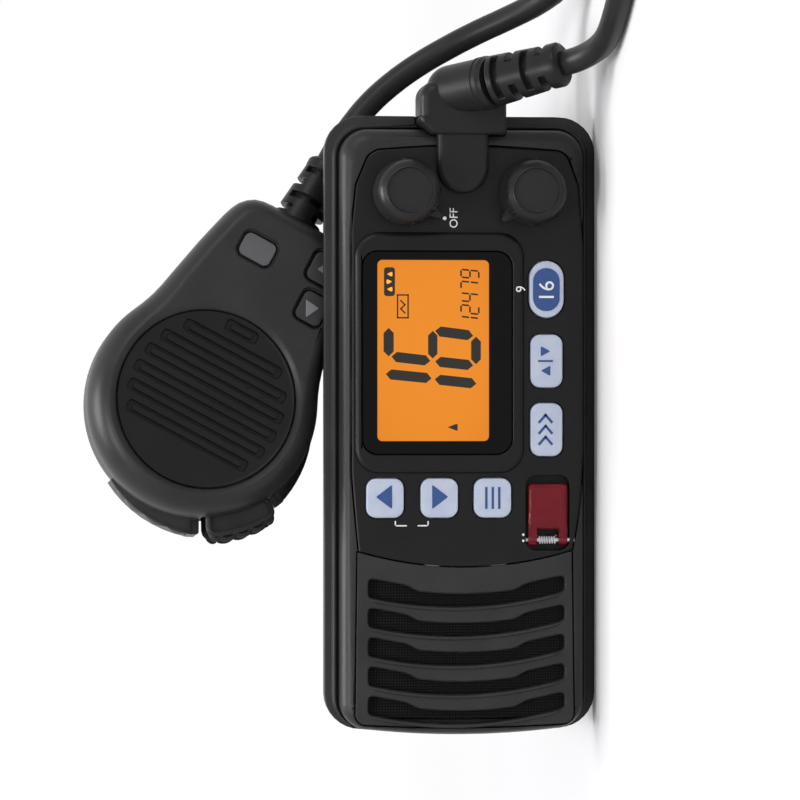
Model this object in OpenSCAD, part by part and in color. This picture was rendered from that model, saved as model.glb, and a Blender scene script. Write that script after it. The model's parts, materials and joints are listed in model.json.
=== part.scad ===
// Fixed-mount marine radio with a fist microphone on a curly cord.
// X runs to the right of the front, Y into the set and Z up, in millimetres.
// The origin is the centre of the flat underside.

/* [Front] */
// Width of the mounting flange
front_w = 153; // [146:0.5:170]
// Height of the mounting flange
front_h = 67.5; // [66:0.5:74]
// Corner radius of the flange
front_r = 9; // [7:0.5:11]
// How far the speaker end bows out
front_bulge = 1.3; // [0.6:0.1:2]
// Thickness of the flange plate
flange_t = 3.5; // [2.5:0.1:5]
// Depth of the bezel in front of the flange
bezel_depth = 7.5; // [7:0.1:9]
// Inset of the bezel's foot from the flange's edge
bezel_inset = 3.6; // [2.8:0.1:4.2]
// Radius of the bezel's rounded shoulder
shoulder_r = 3.6; // [2.5:0.1:4]
// Thickness of the two front inserts
insert_t = 2.2; // [1.8:0.1:2.8]
// Width of the seam round an insert
seam = 0.3; // [0.2:0.05:0.5]
// Thickness of the sealing gasket
gasket_t = 1.2; // [0.8:0.1:2]

/* [Louvres] */
// Number of louvre slots
slot_count = 5; // [3:1:5]
// Distance from one slot to the next
slot_pitch = 7.2; // [6.8:0.1:7.6]
// Height of a slot
slot_h = 48.7; // [40:0.1:50]
// Width of a slot near its ends
slot_end_w = 4; // [3:0.1:4.4]
// Width of a slot in its middle
slot_mid_w = 3.2; // [2.4:0.1:3.6]
// How far a slot bows out
slot_bow = 3.1; // [2:0.1:4]
// Height of the lip along a slot
slot_lip = 0.6; // [0.3:0.1:1]

/* [Display] */
// Width of the display window
window_w = 50; // [44:0.5:52]
// Height of the display window
window_h = 37.2; // [33:0.1:38]
// Corner radius of the window
window_r = 4; // [2:0.5:6]
// Thickness of the window
window_t = 1.2; // [0.8:0.1:1.6]
// Width of the frame round the window
frame_side = 4.6; // [3:0.1:5.2]
// How far the frame stands proud of the panel
frame_proud = 1.2; // [0.8:0.1:2]

/* [Keys] */
// Width of a square key
key_w = 9.6; // [8:0.1:10]
// Height of a square key
key_h = 9.2; // [8:0.1:10]
// Width of a lower key
low_key_w = 13; // [11:0.1:14]
// Height of a lower key
low_key_h = 7.9; // [7:0.1:8.4]
// How far a key stands proud of the panel
key_proud = 1.1; // [0.6:0.1:1.6]
// Travel of a key
key_travel = 0.8; // [0.4:0.1:1]
// Gap round a moving key
key_gap = 0.3; // [0.2:0.05:0.4]

/* [Knobs] */
// Radius of a knob's skirt
knob_r = 8.3; // [7.5:0.1:9]
// Height of a knob
knob_h = 9.7; // [8:0.1:12]
// Length of the pointer beyond the skirt
pointer = 2.2; // [1:0.1:3]
// Radius of a control shaft
shaft_r = 3; // [2.5:0.1:3.2]

/* [Distress key] */
// Width of the distress cover without its hinge
cover_w = 11.1; // [9.5:0.1:11.5]
// Height of the distress cover
cover_h = 9.7; // [8.5:0.1:10.5]
// Wall of the cover
cover_t = 0.9; // [0.7:0.1:1.2]
// Side of the red key
red_key = 7; // [5.6:0.1:7.2]
// Radius of the hinge pin
pin_r = 0.6; // [0.5:0.05:0.75]

/* [Casting] */
// Width of the casting
chassis_w = 136; // [126:0.5:138]
// Height of the casting
chassis_h = 60.5; // [58:0.5:62]
// Depth of the casting behind the gasket, with its fins
chassis_d = 108; // [95:0.5:130]
// Wall of the casting
chassis_wall = 3; // [2.4:0.1:4]
// Depth of the cooling fins
fin_d = 10; // [6:0.5:14]
// Thickness of a fin
fin_t = 2; // [1.4:0.1:2.6]
// Distance from fin to fin
fin_pitch = 8; // [6:0.5:12]
// Radius of the tapped bracket hole
bracket_r = 2.1; // [1.8:0.1:2.6]
// Length of a bracket insert
bracket_l = 10; // [8:0.5:12]
// Radius of the antenna socket's thread
antenna_r = 7.9; // [7:0.1:8.5]
// Length of the antenna socket's thread
antenna_l = 14; // [10:0.5:18]

/* [Microphone] */
// Radius of the microphone's head
head_r = 28.8; // [27:0.1:30]
// Distance from the head's centre to the end of the neck
neck_l = 52; // [48:0.5:56]
// Half width of the neck at its end
neck_end = 15.8; // [14:0.1:17]
// Half width of the neck at the head
neck_root = 25; // [23:0.1:26]
// Depth of the front shell
mic_front_d = 13; // [11:0.1:14]
// Depth of the rear shell
mic_rear_d = 13; // [11:0.1:15]
// Wall of the microphone's case
mic_wall = 2.2; // [1.8:0.1:2.6]
// Radius of the slotted disc
grille_r = 22; // [19:0.1:22.5]
// Number of slots in the disc
grille_slots = 7; // [4:1:7]
// Distance from slot to slot
grille_pitch = 4.9; // [4.6:0.1:5.2]
// Travel of the talk lever
ptt_travel = 2; // [1:0.1:2.2]
// Radius of the talk lever's outer face
ptt_r = 35; // [33:0.1:36]

/* [Lead] */
// Diameter of the cord
cord_d = 6.2; // [6:0.1:6.5]
// Mean radius of a curl
curl_r = 8; // [7:0.1:8.4]
// Number of curls
curl_count = 19; // [12:1:19]
// Length of the ribbed relief on the set
relief_l = 19; // [15:0.5:22]
// Length of the ribbed relief on the microphone
mic_relief_l = 18; // [14:0.5:20]

/* [Hidden] */

// Colours as the photograph shows them
charcoal = [0.12, 0.12, 0.13];
flange_grey = [0.2, 0.2, 0.21];
gloss_black = [0.03, 0.03, 0.03];
amber = [0.95, 0.57, 0.18];
key_white = [0.8, 0.82, 0.92];
crimson = [0.62, 0.08, 0.16];
steel = [0.7, 0.7, 0.72];
board_green = [0.1, 0.35, 0.2];
brass = [0.75, 0.6, 0.3];
rubber = [0.1, 0.1, 0.1];

// Planes of the front, along Y
face_y = -60;
flange_front_y = face_y + bezel_depth;
flange_back_y = flange_front_y + flange_t;
chassis_y = flange_back_y + gasket_t;
insert_back_y = face_y + insert_t;
mid_z = front_h / 2;
// How far each end and the top of the front lie from their usual places
wider = (front_w - 153) / 2;
taller = front_h - 67.5;
high = front_h / 67.5;
round_fn = 48;
hull_fn = 32;
join = 0.02;

// A 2-D shape in X and Z, drawn from y_back towards the viewer
module slab(y_back, t) {
    translate([0, y_back, 0]) rotate([90, 0, 0]) linear_extrude(t) children();
}

// Its axis points to the viewer, and it starts at y_back
module towards_viewer(x, y_back, z) {
    translate([x, y_back, z]) rotate([90, 0, 0]) children();
}

// Points on an arc about c, from angle a0 to a1
arc_steps = 8;
function arc(c, r, a0, a1) = [for (i = [0:arc_steps]) let (a = a0 + (a1 - a0) * i / arc_steps)
    c + r * [cos(a), sin(a)]];

module rounded_rect(w, h, r) {
    x = w / 2 - r;
    z = h / 2 - r;
    polygon(concat(arc([x, z], r, 0, 90), arc([-x, z], r, 90, 180),
        arc([-x, -z], r, 180, 270), arc([x, -z], r, 270, 360)));
}

// Outline of the front, with the speaker end bowed
module front_outline(inset, left_inset) {
    r = front_r - inset * 0.6;
    x0 = -front_w / 2 + front_bulge + left_inset;
    x1 = front_w / 2 - inset;
    z0 = inset;
    z1 = front_h - inset;
    steps = 8;
    polygon(concat(arc([x1 - r, z1 - r], r, 0, 90), arc([x0 + r, z1 - r], r, 90, 180),
        [for (i = [1:steps - 1]) let (t = 1 - 2 * i / steps)
            [x0 - front_bulge * (1 - t * t), mid_z + t * (z1 - r - mid_z)]],
        arc([x0 + r, z0 + r], r, 180, 270), arc([x1 - r, z0 + r], r, 270, 360)));
}

// Seam line round the two inserts, as distances from the flange's edges
seam_left = 2.9;
seam_right = 7.9;
seam_top = 6.2;
seam_bottom = 4;
step_in = 1.7;
arc_r = 91.6;
arc_x = 56.7;

function seam_arc() = let (
        x0 = -front_w / 2 + seam_left, half = mid_z - seam_bottom - 2.7)
    [for (i = [0:8]) let (t = i / 4 - 1)
        [x0 - 0.7 * (1 - t * t), mid_z - 0.4 + t * half]];

// The seam steps out round the display and slopes in beside the knobs
module panel_region(grow = 0) {
    top = front_h - seam_top;
    x_r = front_w / 2 - seam_right;
    offset(delta = grow) offset(r = 2.6, $fn = hull_fn) offset(delta = -2.6)
        polygon(concat(seam_arc(), [
            [-31, top - step_in], [-24, top - 1], [-12, top], [48 + wider, top],
            [59 + wider, top - 1], [x_r - 2.4, top - 4], [x_r - 1, top - 6.3],
            [x_r, mid_z + 8], [x_r, mid_z - 8], [x_r - 1, seam_bottom + 6],
            [x_r - 2.4, seam_bottom + 3.9], [59 + wider, seam_bottom + 1.2],
            [44 + wider, seam_bottom], [-7, seam_bottom], [-19, seam_bottom + 0.7],
            [-25, seam_bottom + 1.6], [-31, seam_bottom + 2.7]]));
}

module divider_disc(grow) {
    translate([arc_x, mid_z - 0.3]) hull() circle(arc_r + grow, $fn = 180);
}

module control_region(grow) {
    intersection() {
        panel_region(grow);
        divider_disc(-seam / 2);
    }
}

module speaker_region(grow) {
    difference() {
        panel_region(grow);
        divider_disc(seam / 2);
    }
}

rim_grow = 0.6;
rim_wall = 1.6;
rim_gap = 0.1;

// Wall behind an insert, which seats in the bezel's rebate and on the flange
module rim(side) {
    slab(flange_front_y, bezel_depth - insert_t) difference() {
        if (side == "control") control_region(rim_grow);
        else speaker_region(rim_grow);
        if (side == "control") control_region(rim_grow - rim_wall);
        else speaker_region(rim_grow - rim_wall);
        if (side == "control") divider_rest(-1);
        else divider_rest(1);
    }
}

// Along the divider the rim stays open for the keypad and the speaker
module divider_rest(side) {
    translate([arc_x, mid_z - 0.3]) difference() {
        circle(arc_r + (side > 0 ? 4 : 0), $fn = 180);
        circle(arc_r - (side > 0 ? 0 : 4), $fn = 180);
        for (s = [-1, 1]) translate([-arc_r - 5, s * mid_z]) square([60, 18], center = true);
    }
}

module front_bezel() color(charcoal) {
    steps = 4;
    left_share = 0.4;
    difference() {
        hull() {
            slab(flange_front_y, 1) front_outline(bezel_inset, 0.2);
            for (i = [0:steps]) let (a = 90 * i / steps, in = shoulder_r * (1 - cos(a)))
                slab(face_y + shoulder_r * (1 - sin(a)) + 0.1, 0.1)
                    front_outline(bezel_inset + in, 0.2 + left_share * in);
        }
        slab(flange_front_y + 1, bezel_depth + 2) panel_region(seam);
        slab(flange_front_y + 1, bezel_depth - insert_t + 1) panel_region(rim_grow + rim_gap);
        collar_notch(0.1);
    }
}

// Raised band round the flange's front
band_inset = 2.1;
band_w = 1;
band_h = 1;

screw_xs = [-26, 28];
screw_zs = [6, chassis_h - 6];
screw_r = 1.6;
screw_l = 12;
screw_boss_r = 3.8;
opening_inset = chassis_wall + 0.6;

module panel_flange() color(flange_grey) difference() {
    union() {
        slab(flange_back_y, flange_t) front_outline(0, 0);
        slab(flange_front_y, band_h) difference() {
            front_outline(band_inset, 0.3);
            front_outline(band_inset + band_w, 0.4);
            front_outline(bezel_inset, 0.2);
        }
    }
    slab(flange_back_y + 1, flange_t + 1.5) difference() {
        chassis_outline(opening_inset);
        for (x = screw_xs, z = screw_zs) translate([x, z]) square(2 * screw_boss_r + 3, center = true);
    }
    for (x = screw_xs, z = screw_zs) towards_viewer(x, flange_front_y, z)
        translate([0, 0, -flange_t - 1]) {
            cylinder(h = flange_t + 2, r = screw_r + 0.1, $fn = round_fn);
            translate([0, 0, flange_t - 0.4])
                cylinder(h = 1.41, r1 = screw_r + 0.1, r2 = 3.1, $fn = round_fn);
        }
    collar_notch(0.1);
}

module chassis_outline(inset) {
    translate([0, chassis_h / 2])
        rounded_rect(chassis_w - 2 * inset, chassis_h - 2 * inset, max(6 - inset, 2));
}

module panel_gasket() color(rubber) difference() {
    slab(chassis_y, gasket_t) difference() {
        chassis_outline(0);
        chassis_outline(opening_inset);
    }
    for (x = screw_xs, z = screw_zs)
        towards_viewer(x, chassis_y + 1, z) cylinder(h = gasket_t + 2, r = screw_boss_r + 0.2);
}

// Keys: name, centre, size and shape
key_x = -17.9;
key_zs = [53.2 + taller, 39.8 + 0.55 * taller, 26.6 + 0.1 * taller];
key_high = key_h * high;
low_key_z = 13.2;
low_key_xs = [-1.1, 15.8];
key_16_x = 33.5;
key_16_w = 14;
key_16_h = 8.5;
key_rim = 0.9;
key_rim_t = 0.8;

module square_key(grow = 0) rounded_rect(key_w + 2 * grow, key_high + 2 * grow, 2.4 + grow);
module low_key(grow = 0) rounded_rect(low_key_w + 2 * grow, low_key_h + 2 * grow, 2.4 + grow);
module oval_key(grow = 0) intersection() {
    rounded_rect(key_16_w + 2 * grow, key_16_h + 2 * grow, key_16_h / 2 + grow - 0.01);
    square([key_16_w + 2 * grow, key_16_h + 2 * grow], center = true);
}

module key_shape(kind, grow) {
    if (kind == "square") square_key(grow);
    else if (kind == "low") low_key(grow);
    else oval_key(grow);
}

module key_holes(grow) {
    for (z = key_zs) translate([key_x, z]) square_key(grow);
    for (x = low_key_xs) translate([x, low_key_z]) low_key(grow);
    translate([key_16_x, low_key_z]) oval_key(grow);
}

// A key cap with a crowned top, held behind the panel by its rim
module key_cap(kind, x, z) color(key_white) {
    rim_back = insert_back_y + key_rim_t;
    translate([x, 0, z]) {
        slab(rim_back, key_rim_t) key_shape(kind, key_rim);
        hull() {
            slab(rim_back, insert_t + key_rim_t + key_proud - 0.5) key_shape(kind, 0);
            slab(face_y - key_proud + 0.1, 0.1) key_shape(kind, -0.8);
        }
    }
}

module key_up() key_cap("square", key_x, key_zs[0]);
module key_down() key_cap("square", key_x, key_zs[1]);
module key_menu() key_cap("square", key_x, key_zs[2]);
module key_scan() key_cap("low", low_key_xs[0], low_key_z);
module key_channel() key_cap("low", low_key_xs[1], low_key_z);
module key_16() key_cap("oval", key_16_x, low_key_z);

// Display
window_x = 17.8 + wider / 2;
window_z = 40.3 + taller / 2;
lens_w = window_w + wider;
lens_h = window_h + taller;
frame_w = lens_w + 2 * frame_side;
frame_h = lens_h + frame_side;
frame_z = window_z - 0.6;
window_floor_y = face_y + 0.4;
window_lip = 1.4;

module at_window() translate([window_x, 0, window_z]) children();
module window_shape(grow = 0) rounded_rect(lens_w + 2 * grow, lens_h + 2 * grow, window_r + grow);
module frame_shape(grow = 0) translate([0, frame_z - window_z])
    rounded_rect(frame_w + 2 * grow, frame_h + 2 * grow, 6 + grow);
frame_body = -1.6;

module lcd_bezel() color(charcoal) at_window() difference() {
    union() {
        hull() {
            slab(face_y, frame_proud / 2) frame_shape();
            slab(face_y, frame_proud) frame_shape(-0.9);
        }
        slab(insert_back_y, insert_t + join) frame_shape(frame_body);
    }
    slab(window_floor_y, 5) window_shape(0.1);
    slab(insert_back_y + 1, 6) window_shape(-window_lip);
}

module lcd_window() color(gloss_black) at_window()
    slab(window_floor_y, window_t) window_shape();

module lcd_module() color(amber) at_window() {
    slab(board_front_y, board_front_y - insert_back_y) square([lens_w - 1, lens_h - 1], center = true);
    slab(insert_back_y + join, insert_back_y - window_floor_y) window_shape(-window_lip - 0.3);
}

// Distress key in its recess
recess_x = -21.6;
recess_w = 18.6;
recess_h = 10.9;
recess_z = 12.8;
recess_floor_y = face_y + 3;
tray_t = 0.8;
red_rim_t = 0.5;
hinge_x = recess_x - recess_w / 2 + 2.6;
hinge_y = face_y + 0.9;
knuckle_r = 1.35;
knuckle_l = 2.2;
hinge_gap = 0.05;
cover_z0 = recess_z - cover_h / 2;
cover_x0 = hinge_x + 2.8;

module recess_shape(grow = 0) translate([recess_x, recess_z])
    rounded_rect(recess_w + 2 * grow, recess_h + 2 * grow, 2.6 + grow);

// Tray of the recess, behind the control panel
module recess_tray() {
    slab(recess_floor_y + tray_t, tray_t + recess_floor_y - insert_back_y + join)
        recess_shape(1.2);
}

module pin_hole(r) translate([hinge_x, hinge_y, recess_z - recess_h / 2 - 1.2])
    cylinder(h = recess_h + 2.4, r = r, $fn = round_fn);

knob_x = 57.3 + wider;
knob_zs = [47.9 * high, 16.8 * high];

// Microphone lead over the right edge of the front
lead_z = 34 * high;
tongue_w = 12.8 * high;
tongue_x0 = 57 + wider;
tongue_key_x = 69.2 + wider;
tongue_key_y = face_y + 1.8;
tongue_proud = 2.6;
collar_x0 = 71.4 + wider;
collar_x1 = 76 + wider;
collar_h = 21.4;
collar_proud = 4;
collar_back_y = flange_back_y - 1;
elbow_w = 8.6;
elbow_back = 0.4;
elbow_r = 6.3;
relief_tip_r = 5.4;
elbow_p = [82.4 + wider, -59, lead_z + 2.5];
relief_p = [84 + wider, -68, lead_z - 6.5];
relief_q = [87.4 + wider, -77, lead_z - 21.2];

// Places on the microphone, in its own frame
mic_pos = [5, flange_back_y + 8.7, chassis_h + 36.95];
mic_yaw = 7;
mic_lean = -4;
mic_tilt = 28;
grille_t = 1.6;
slot_u0 = -10.3;
mic_board_z = 2;
mic_key_z = mic_front_d - mic_wall - 2.2 - 0.8;
mic_rim = 0.7;
// Each key: x, y, width, height, depth below the front
mic_keys = [[39.2, 6.1, 6.2, 8.6, 0.3], [42.7, -10.8, 7.6, 7, 0.3], [32.6, -12.8, 7.6, 7, 0.3]];
mic_screw_ps = [[-19, 12], [8, -21], [8, 21]];
mic_screw_sink = 0.8;
mic_head_t = 1.2;
ptt_a0 = 209;
ptt_a1 = 242;
ptt_a = (ptt_a0 + ptt_a1) / 2;
ptt_half = 5.5;
ptt_window_r = head_r - mic_wall - 3;
// The lever's sides close in on the window as it travels
ptt_gap_a = atan((ptt_travel * sin((ptt_a1 - ptt_a0) / 2) + 0.15) / ptt_window_r);
switch_r = head_r - mic_wall - 1.8 - ptt_travel - 0.2;
stud_x = 4;
stud_r = 3.5;
relief_neck_r = 4.3;
fit_gap = 0.05;

module control_panel() color(charcoal) difference() {
    union() {
        slab(insert_back_y, insert_t) control_region(0);
        rim("control");
        recess_tray();
    }
    slab(insert_back_y + 1, insert_t + 3) key_holes(key_gap);
    at_window() slab(insert_back_y + 1, insert_t + 3) frame_shape(frame_body + 0.1);
    slab(recess_floor_y, 5) recess_shape();
    translate([red_key_x, 0, recess_z])
        slab(recess_floor_y + 3, 6) square(red_key + 2 * key_gap, center = true);
    pin_hole(pin_r);
    for (z = knob_zs) towards_viewer(knob_x, insert_back_y + 1, z)
        cylinder(h = insert_t + 2, r = shaft_r + 0.4, $fn = round_fn);
    slab(tongue_key_y + 0.1, 10) tongue_key(0.1);
}

// Louvres
speaker_room = 38.7;
slot_share = 1 + wider / speaker_room;
slot_x0 = -41.6 - 6.7 * (slot_share - 1);
slot_step = slot_pitch * slot_share;
slot_z = 32.9 * high;
slot_l = slot_h * high;

function slot_left(x, t) = x - slot_bow * slot_share * (1 - t * t);
function slot_width(t) = abs(t) > 0.62 ? slot_end_w
    : abs(t) < 0.52 ? slot_mid_w
    : slot_mid_w + (slot_end_w - slot_mid_w) * (abs(t) - 0.52) / 0.1;

module slot_shape(x, grow = 0) {
    ts = [-1, -0.8, -0.62, -0.52, -0.3, 0, 0.3, 0.52, 0.62, 0.8, 1];
    h = slot_l / 2 + grow;
    polygon(concat(
        [for (t = ts) [slot_left(x, t) - grow, slot_z + t * h]],
        [for (i = [len(ts) - 1:-1:0]) let (t = ts[i])
            [slot_left(x, t) + slot_width(t) + grow, slot_z + t * h]]));
}

// Bright lip along the outer side of a slot
module slot_lip_shape(x) {
    lip_w = 0.8;
    n = 10;
    polygon(concat(
        [for (i = [0:n]) let (t = 2 * i / n - 1) [slot_left(x, t) - lip_w, slot_z + t * slot_l / 2]],
        [for (i = [n:-1:0]) let (t = 2 * i / n - 1) [slot_left(x, t), slot_z + t * slot_l / 2]]));
}

module speaker_grille() color(charcoal) {
    difference() {
        union() {
            slab(insert_back_y, insert_t) speaker_region(0);
            rim("speaker");
        }
        for (i = [0:slot_count - 1])
            slab(insert_back_y + 1, insert_t + 2) slot_shape(slot_x0 - i * slot_step);
    }
    for (i = [0:slot_count - 1])
        slab(face_y + 1, 1 + slot_lip) slot_lip_shape(slot_x0 - i * slot_step);
}

speaker_x = -50;
speaker_r = 18.6 + 0.43 * wider;
mesh_t = 0.5;
mesh_x = -54;
mesh_w = 36;

module speaker_mesh() color(gloss_black)
    slab(insert_back_y + mesh_t, mesh_t) translate([mesh_x - wider / 2, slot_z])
        rounded_rect(mesh_w + wider, slot_l + 1, 3);

module speaker_driver() color(steel) {
    y0 = insert_back_y + mesh_t;
    towards_viewer(speaker_x, y0 + 16, slot_z) rotate_extrude($fn = round_fn)
        polygon([[0, 0], [11, 0], [11, 6], [12, 6], [13.4, 11.8], [speaker_r, 12.5],
            [speaker_r, 16], [speaker_r - 2, 16], [7, 11], [5, 12.4], [0, 13]]);
}

// Boards and inner pieces
membrane_y = insert_back_y + key_rim_t + key_travel + 0.1;
membrane_t = 0.8;
strip_w = 50;
board_t = 1.6;
board_x0 = -28;
bushing_r = 4.4;
front_board_y = flange_front_y - 0.5;
board_front_y = front_board_y - board_t;

module keypad_membrane() color(rubber) {
    slab(board_front_y, membrane_t) {
        translate([key_x, 39.9 + 0.55 * taller]) square([10.4, 37.5 + 0.9 * taller], center = true);
        translate([16, low_key_z]) square([strip_w, 9], center = true);
        translate([-13.5, 15]) square([6, 9]);
    }
    for (z = key_zs) towards_viewer(key_x, board_front_y, z)
        cylinder(h = board_front_y - membrane_y, r = 2, $fn = round_fn);
    for (x = concat(low_key_xs, [key_16_x])) towards_viewer(x, board_front_y, low_key_z)
        cylinder(h = board_front_y - membrane_y, r = 2, $fn = round_fn);
}

module front_board() color(board_green) difference() {
    slab(front_board_y, board_t) intersection() {
        control_region(rim_grow - rim_wall);
        translate([board_x0, 0]) square([120, front_h]);
    }
    for (z = knob_zs) towards_viewer(knob_x, front_board_y + 1, z)
        cylinder(h = board_t + 2, r = bushing_r + 0.1, $fn = round_fn);
}

// Knobs and their controls
knob_gap = 0.3;
knob_bore_d = 6.5;
volume_angle = 233;
squelch_angle = 133;
// The pointer turns in front of the tongue and of the display's frame
pointer_lift = max(tongue_proud, frame_proud) - knob_gap + 0.3;
pointer_t = 2;

module knob(z, angle) color(charcoal) towards_viewer(knob_x, face_y - knob_gap, z) {
    r = knob_r * high;
    difference() {
        union() {
            rotate_extrude($fn = round_fn) polygon([[0, 0], [r, 0], [r, 1.2],
                [r - 0.3, 1.6], [r - 0.6, 3], [r - 1.3, knob_h - 1.6],
                [r - 1.9, knob_h - 0.4], [r - 2.4, knob_h], [r - 2.9, knob_h - 0.1],
                [r - 3.1, knob_h - 0.8], [0, knob_h - 0.8]]);
            rotate([0, 0, angle]) translate([0, 0, pointer_lift]) linear_extrude(pointer_t)
                polygon([[r - 2, -2.6], [r + pointer, -0.5], [r + pointer, 0.5], [r - 2, 2.6]]);
            rotate([0, 0, angle]) translate([r - 2, -0.6, 0])
                cube([2.2, 1.2, knob_h - 1.2]);
        }
        translate([0, 0, -1]) cylinder(h = knob_bore_d + 1, r = shaft_r, $fn = round_fn);
    }
}

module knob_volume() knob(knob_zs[0], volume_angle);
module knob_squelch() knob(knob_zs[1], squelch_angle);

control_front_y = insert_back_y + 0.8;

control_d = 6;

module shaft(z) color(steel)
    towards_viewer(knob_x, front_board_y + 2, z)
        cylinder(h = front_board_y + 2 - (face_y - knob_gap) + knob_bore_d,
            r = shaft_r, $fn = round_fn);

module volume_shaft() shaft(knob_zs[0]);
module squelch_shaft() shaft(knob_zs[1]);

module control(z) color(steel) difference() {
    union() {
        slab(front_board_y + control_d, control_d) translate([knob_x, z]) rounded_rect(11.4, 11.4, 1);
        towards_viewer(knob_x, front_board_y + join, z)
            cylinder(h = front_board_y + join - control_front_y, r = bushing_r, $fn = round_fn);
    }
    towards_viewer(knob_x, front_board_y + 2, z)
        cylinder(h = 20, r = shaft_r + 0.05, $fn = round_fn);
}

module volume_control() control(knob_zs[0]);
module squelch_control() control(knob_zs[1]);

module knob_seals() color(rubber) for (z = knob_zs)
    towards_viewer(knob_x, control_front_y - 0.4, z)
        rotate_extrude($fn = round_fn) translate([shaft_r + 0.5, 0]) circle(0.4, $fn = 16);

// Distress key
red_key_x = cover_x0 + cover_w / 2 + 0.6;
red_key_front_y = hinge_y + 0.9;

module distress_key() color(crimson) translate([red_key_x, 0, recess_z]) {
    back_y = recess_floor_y + tray_t + red_rim_t;
    slab(back_y, back_y - red_key_front_y) rounded_rect(red_key, red_key, 0.8);
    slab(back_y, red_rim_t) square([red_key + 2 * key_rim, red_key + 2 * key_rim], center = true);
}

module distress_cover() color(crimson, 0.7) {
    front_y = hinge_y - 1.7;
    difference() {
        union() {
            translate([cover_x0 + cover_w / 2, 0, recess_z]) difference() {
                hull() {
                    slab(hinge_y + 0.4, 1.6) rounded_rect(cover_w, cover_h, 1.2);
                    slab(hinge_y + 0.4, 0.4 + hinge_y - front_y) rounded_rect(cover_w - 1, cover_h - 1, 1);
                }
                slab(hinge_y + 1, 1 + hinge_y - front_y - cover_t)
                    rounded_rect(cover_w - 2 * cover_t, cover_h - 2 * cover_t, 0.8);
            }
            for (z = [cover_z0, cover_z0 + cover_h - knuckle_l]) translate([hinge_x, hinge_y, z]) {
                cylinder(h = knuckle_l, r = knuckle_r, $fn = round_fn);
                translate([0, -knuckle_r, 0]) cube([cover_x0 - hinge_x + 0.4, cover_t + 0.3, knuckle_l]);
            }
        }
        pin_hole(pin_r + hinge_gap);
    }
}

module cover_pin() color(steel) pin_hole(pin_r);

// Round sweep: rings of n sides about points, each with a direction to start from
function unit(v) = v / norm(v);
function ring_at(p, t, ref, r, n) = let (a = unit(cross(t, ref)), b = cross(t, a))
    [for (k = [0:n - 1]) p + r * (cos(360 * k / n) * a + sin(360 * k / n) * b)];
function tangent(ps, i) = unit(ps[min(i + 1, len(ps) - 1)] - ps[max(i - 1, 0)]);
function tube_faces(m, n) = concat(
    [for (i = [0:m - 2], k = [0:n - 1]) let (a = i * n + k, b = i * n + (k + 1) % n) [a, b, b + n]],
    [for (i = [0:m - 2], k = [0:n - 1]) let (a = i * n + k, b = i * n + (k + 1) % n) [a, b + n, a + n]],
    [for (k = [1:n - 2]) [0, k + 1, k]],
    [for (k = [1:n - 2]) [(m - 1) * n, (m - 1) * n + k, (m - 1) * n + k + 1]]);

module tube(ps, refs, r, n) {
    polyhedron([for (i = [0:len(ps) - 1]) each ring_at(ps[i], tangent(ps, i), refs[i], r, n)],
        tube_faces(len(ps), n));
}

// Torsion spring round the hinge pin
spring_r = 1.05;
spring_wire = 0.22;
spring_turns = 7;
spring_l = cover_h - 2 * knuckle_l - 1;

module cover_spring() color(steel) {
    n = spring_turns * 8;
    ps = [for (i = [0:n]) let (a = 45 * i)
        [hinge_x + spring_r * cos(a), hinge_y + spring_r * sin(a),
            recess_z - spring_l / 2 + spring_l * i / n]];
    tube(ps, [for (p = ps) [0, 0, 1]], spring_wire, 6);
}

// Casting
chassis_back_y = chassis_y + chassis_d;
back_wall_y = chassis_back_y - fin_d;
bracket_y = 0;
bracket_z = 29;
boss_r = 6;
fin_count = floor((chassis_w / 2 - 6) / fin_pitch);
antenna_x = 40;
antenna_z = 30;
power_x = -44;
accessory_xs = [-22, 0];
gland_z = 16;
socket_boss_r = 11;
gland_boss_r = 6.4;
board_z = 12;
board_w = 118;
board_d = chassis_d - 24;
board_y = chassis_y + 8;
// The top slopes down at the rear
slope_l = 35.2;
slope_drop = 3;

module along_y(x, y, z) translate([x, y, z]) rotate([-90, 0, 0]) children();

module top_slope() translate([-chassis_w / 2 - 1, 0, 0]) rotate([90, 0, 90])
    linear_extrude(chassis_w + 2) polygon([[chassis_back_y - slope_l, chassis_h],
        [chassis_back_y, chassis_h - slope_drop], [chassis_back_y + 1, chassis_h - slope_drop],
        [chassis_back_y + 1, chassis_h + 1], [chassis_back_y - slope_l, chassis_h + 1]]);

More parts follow.
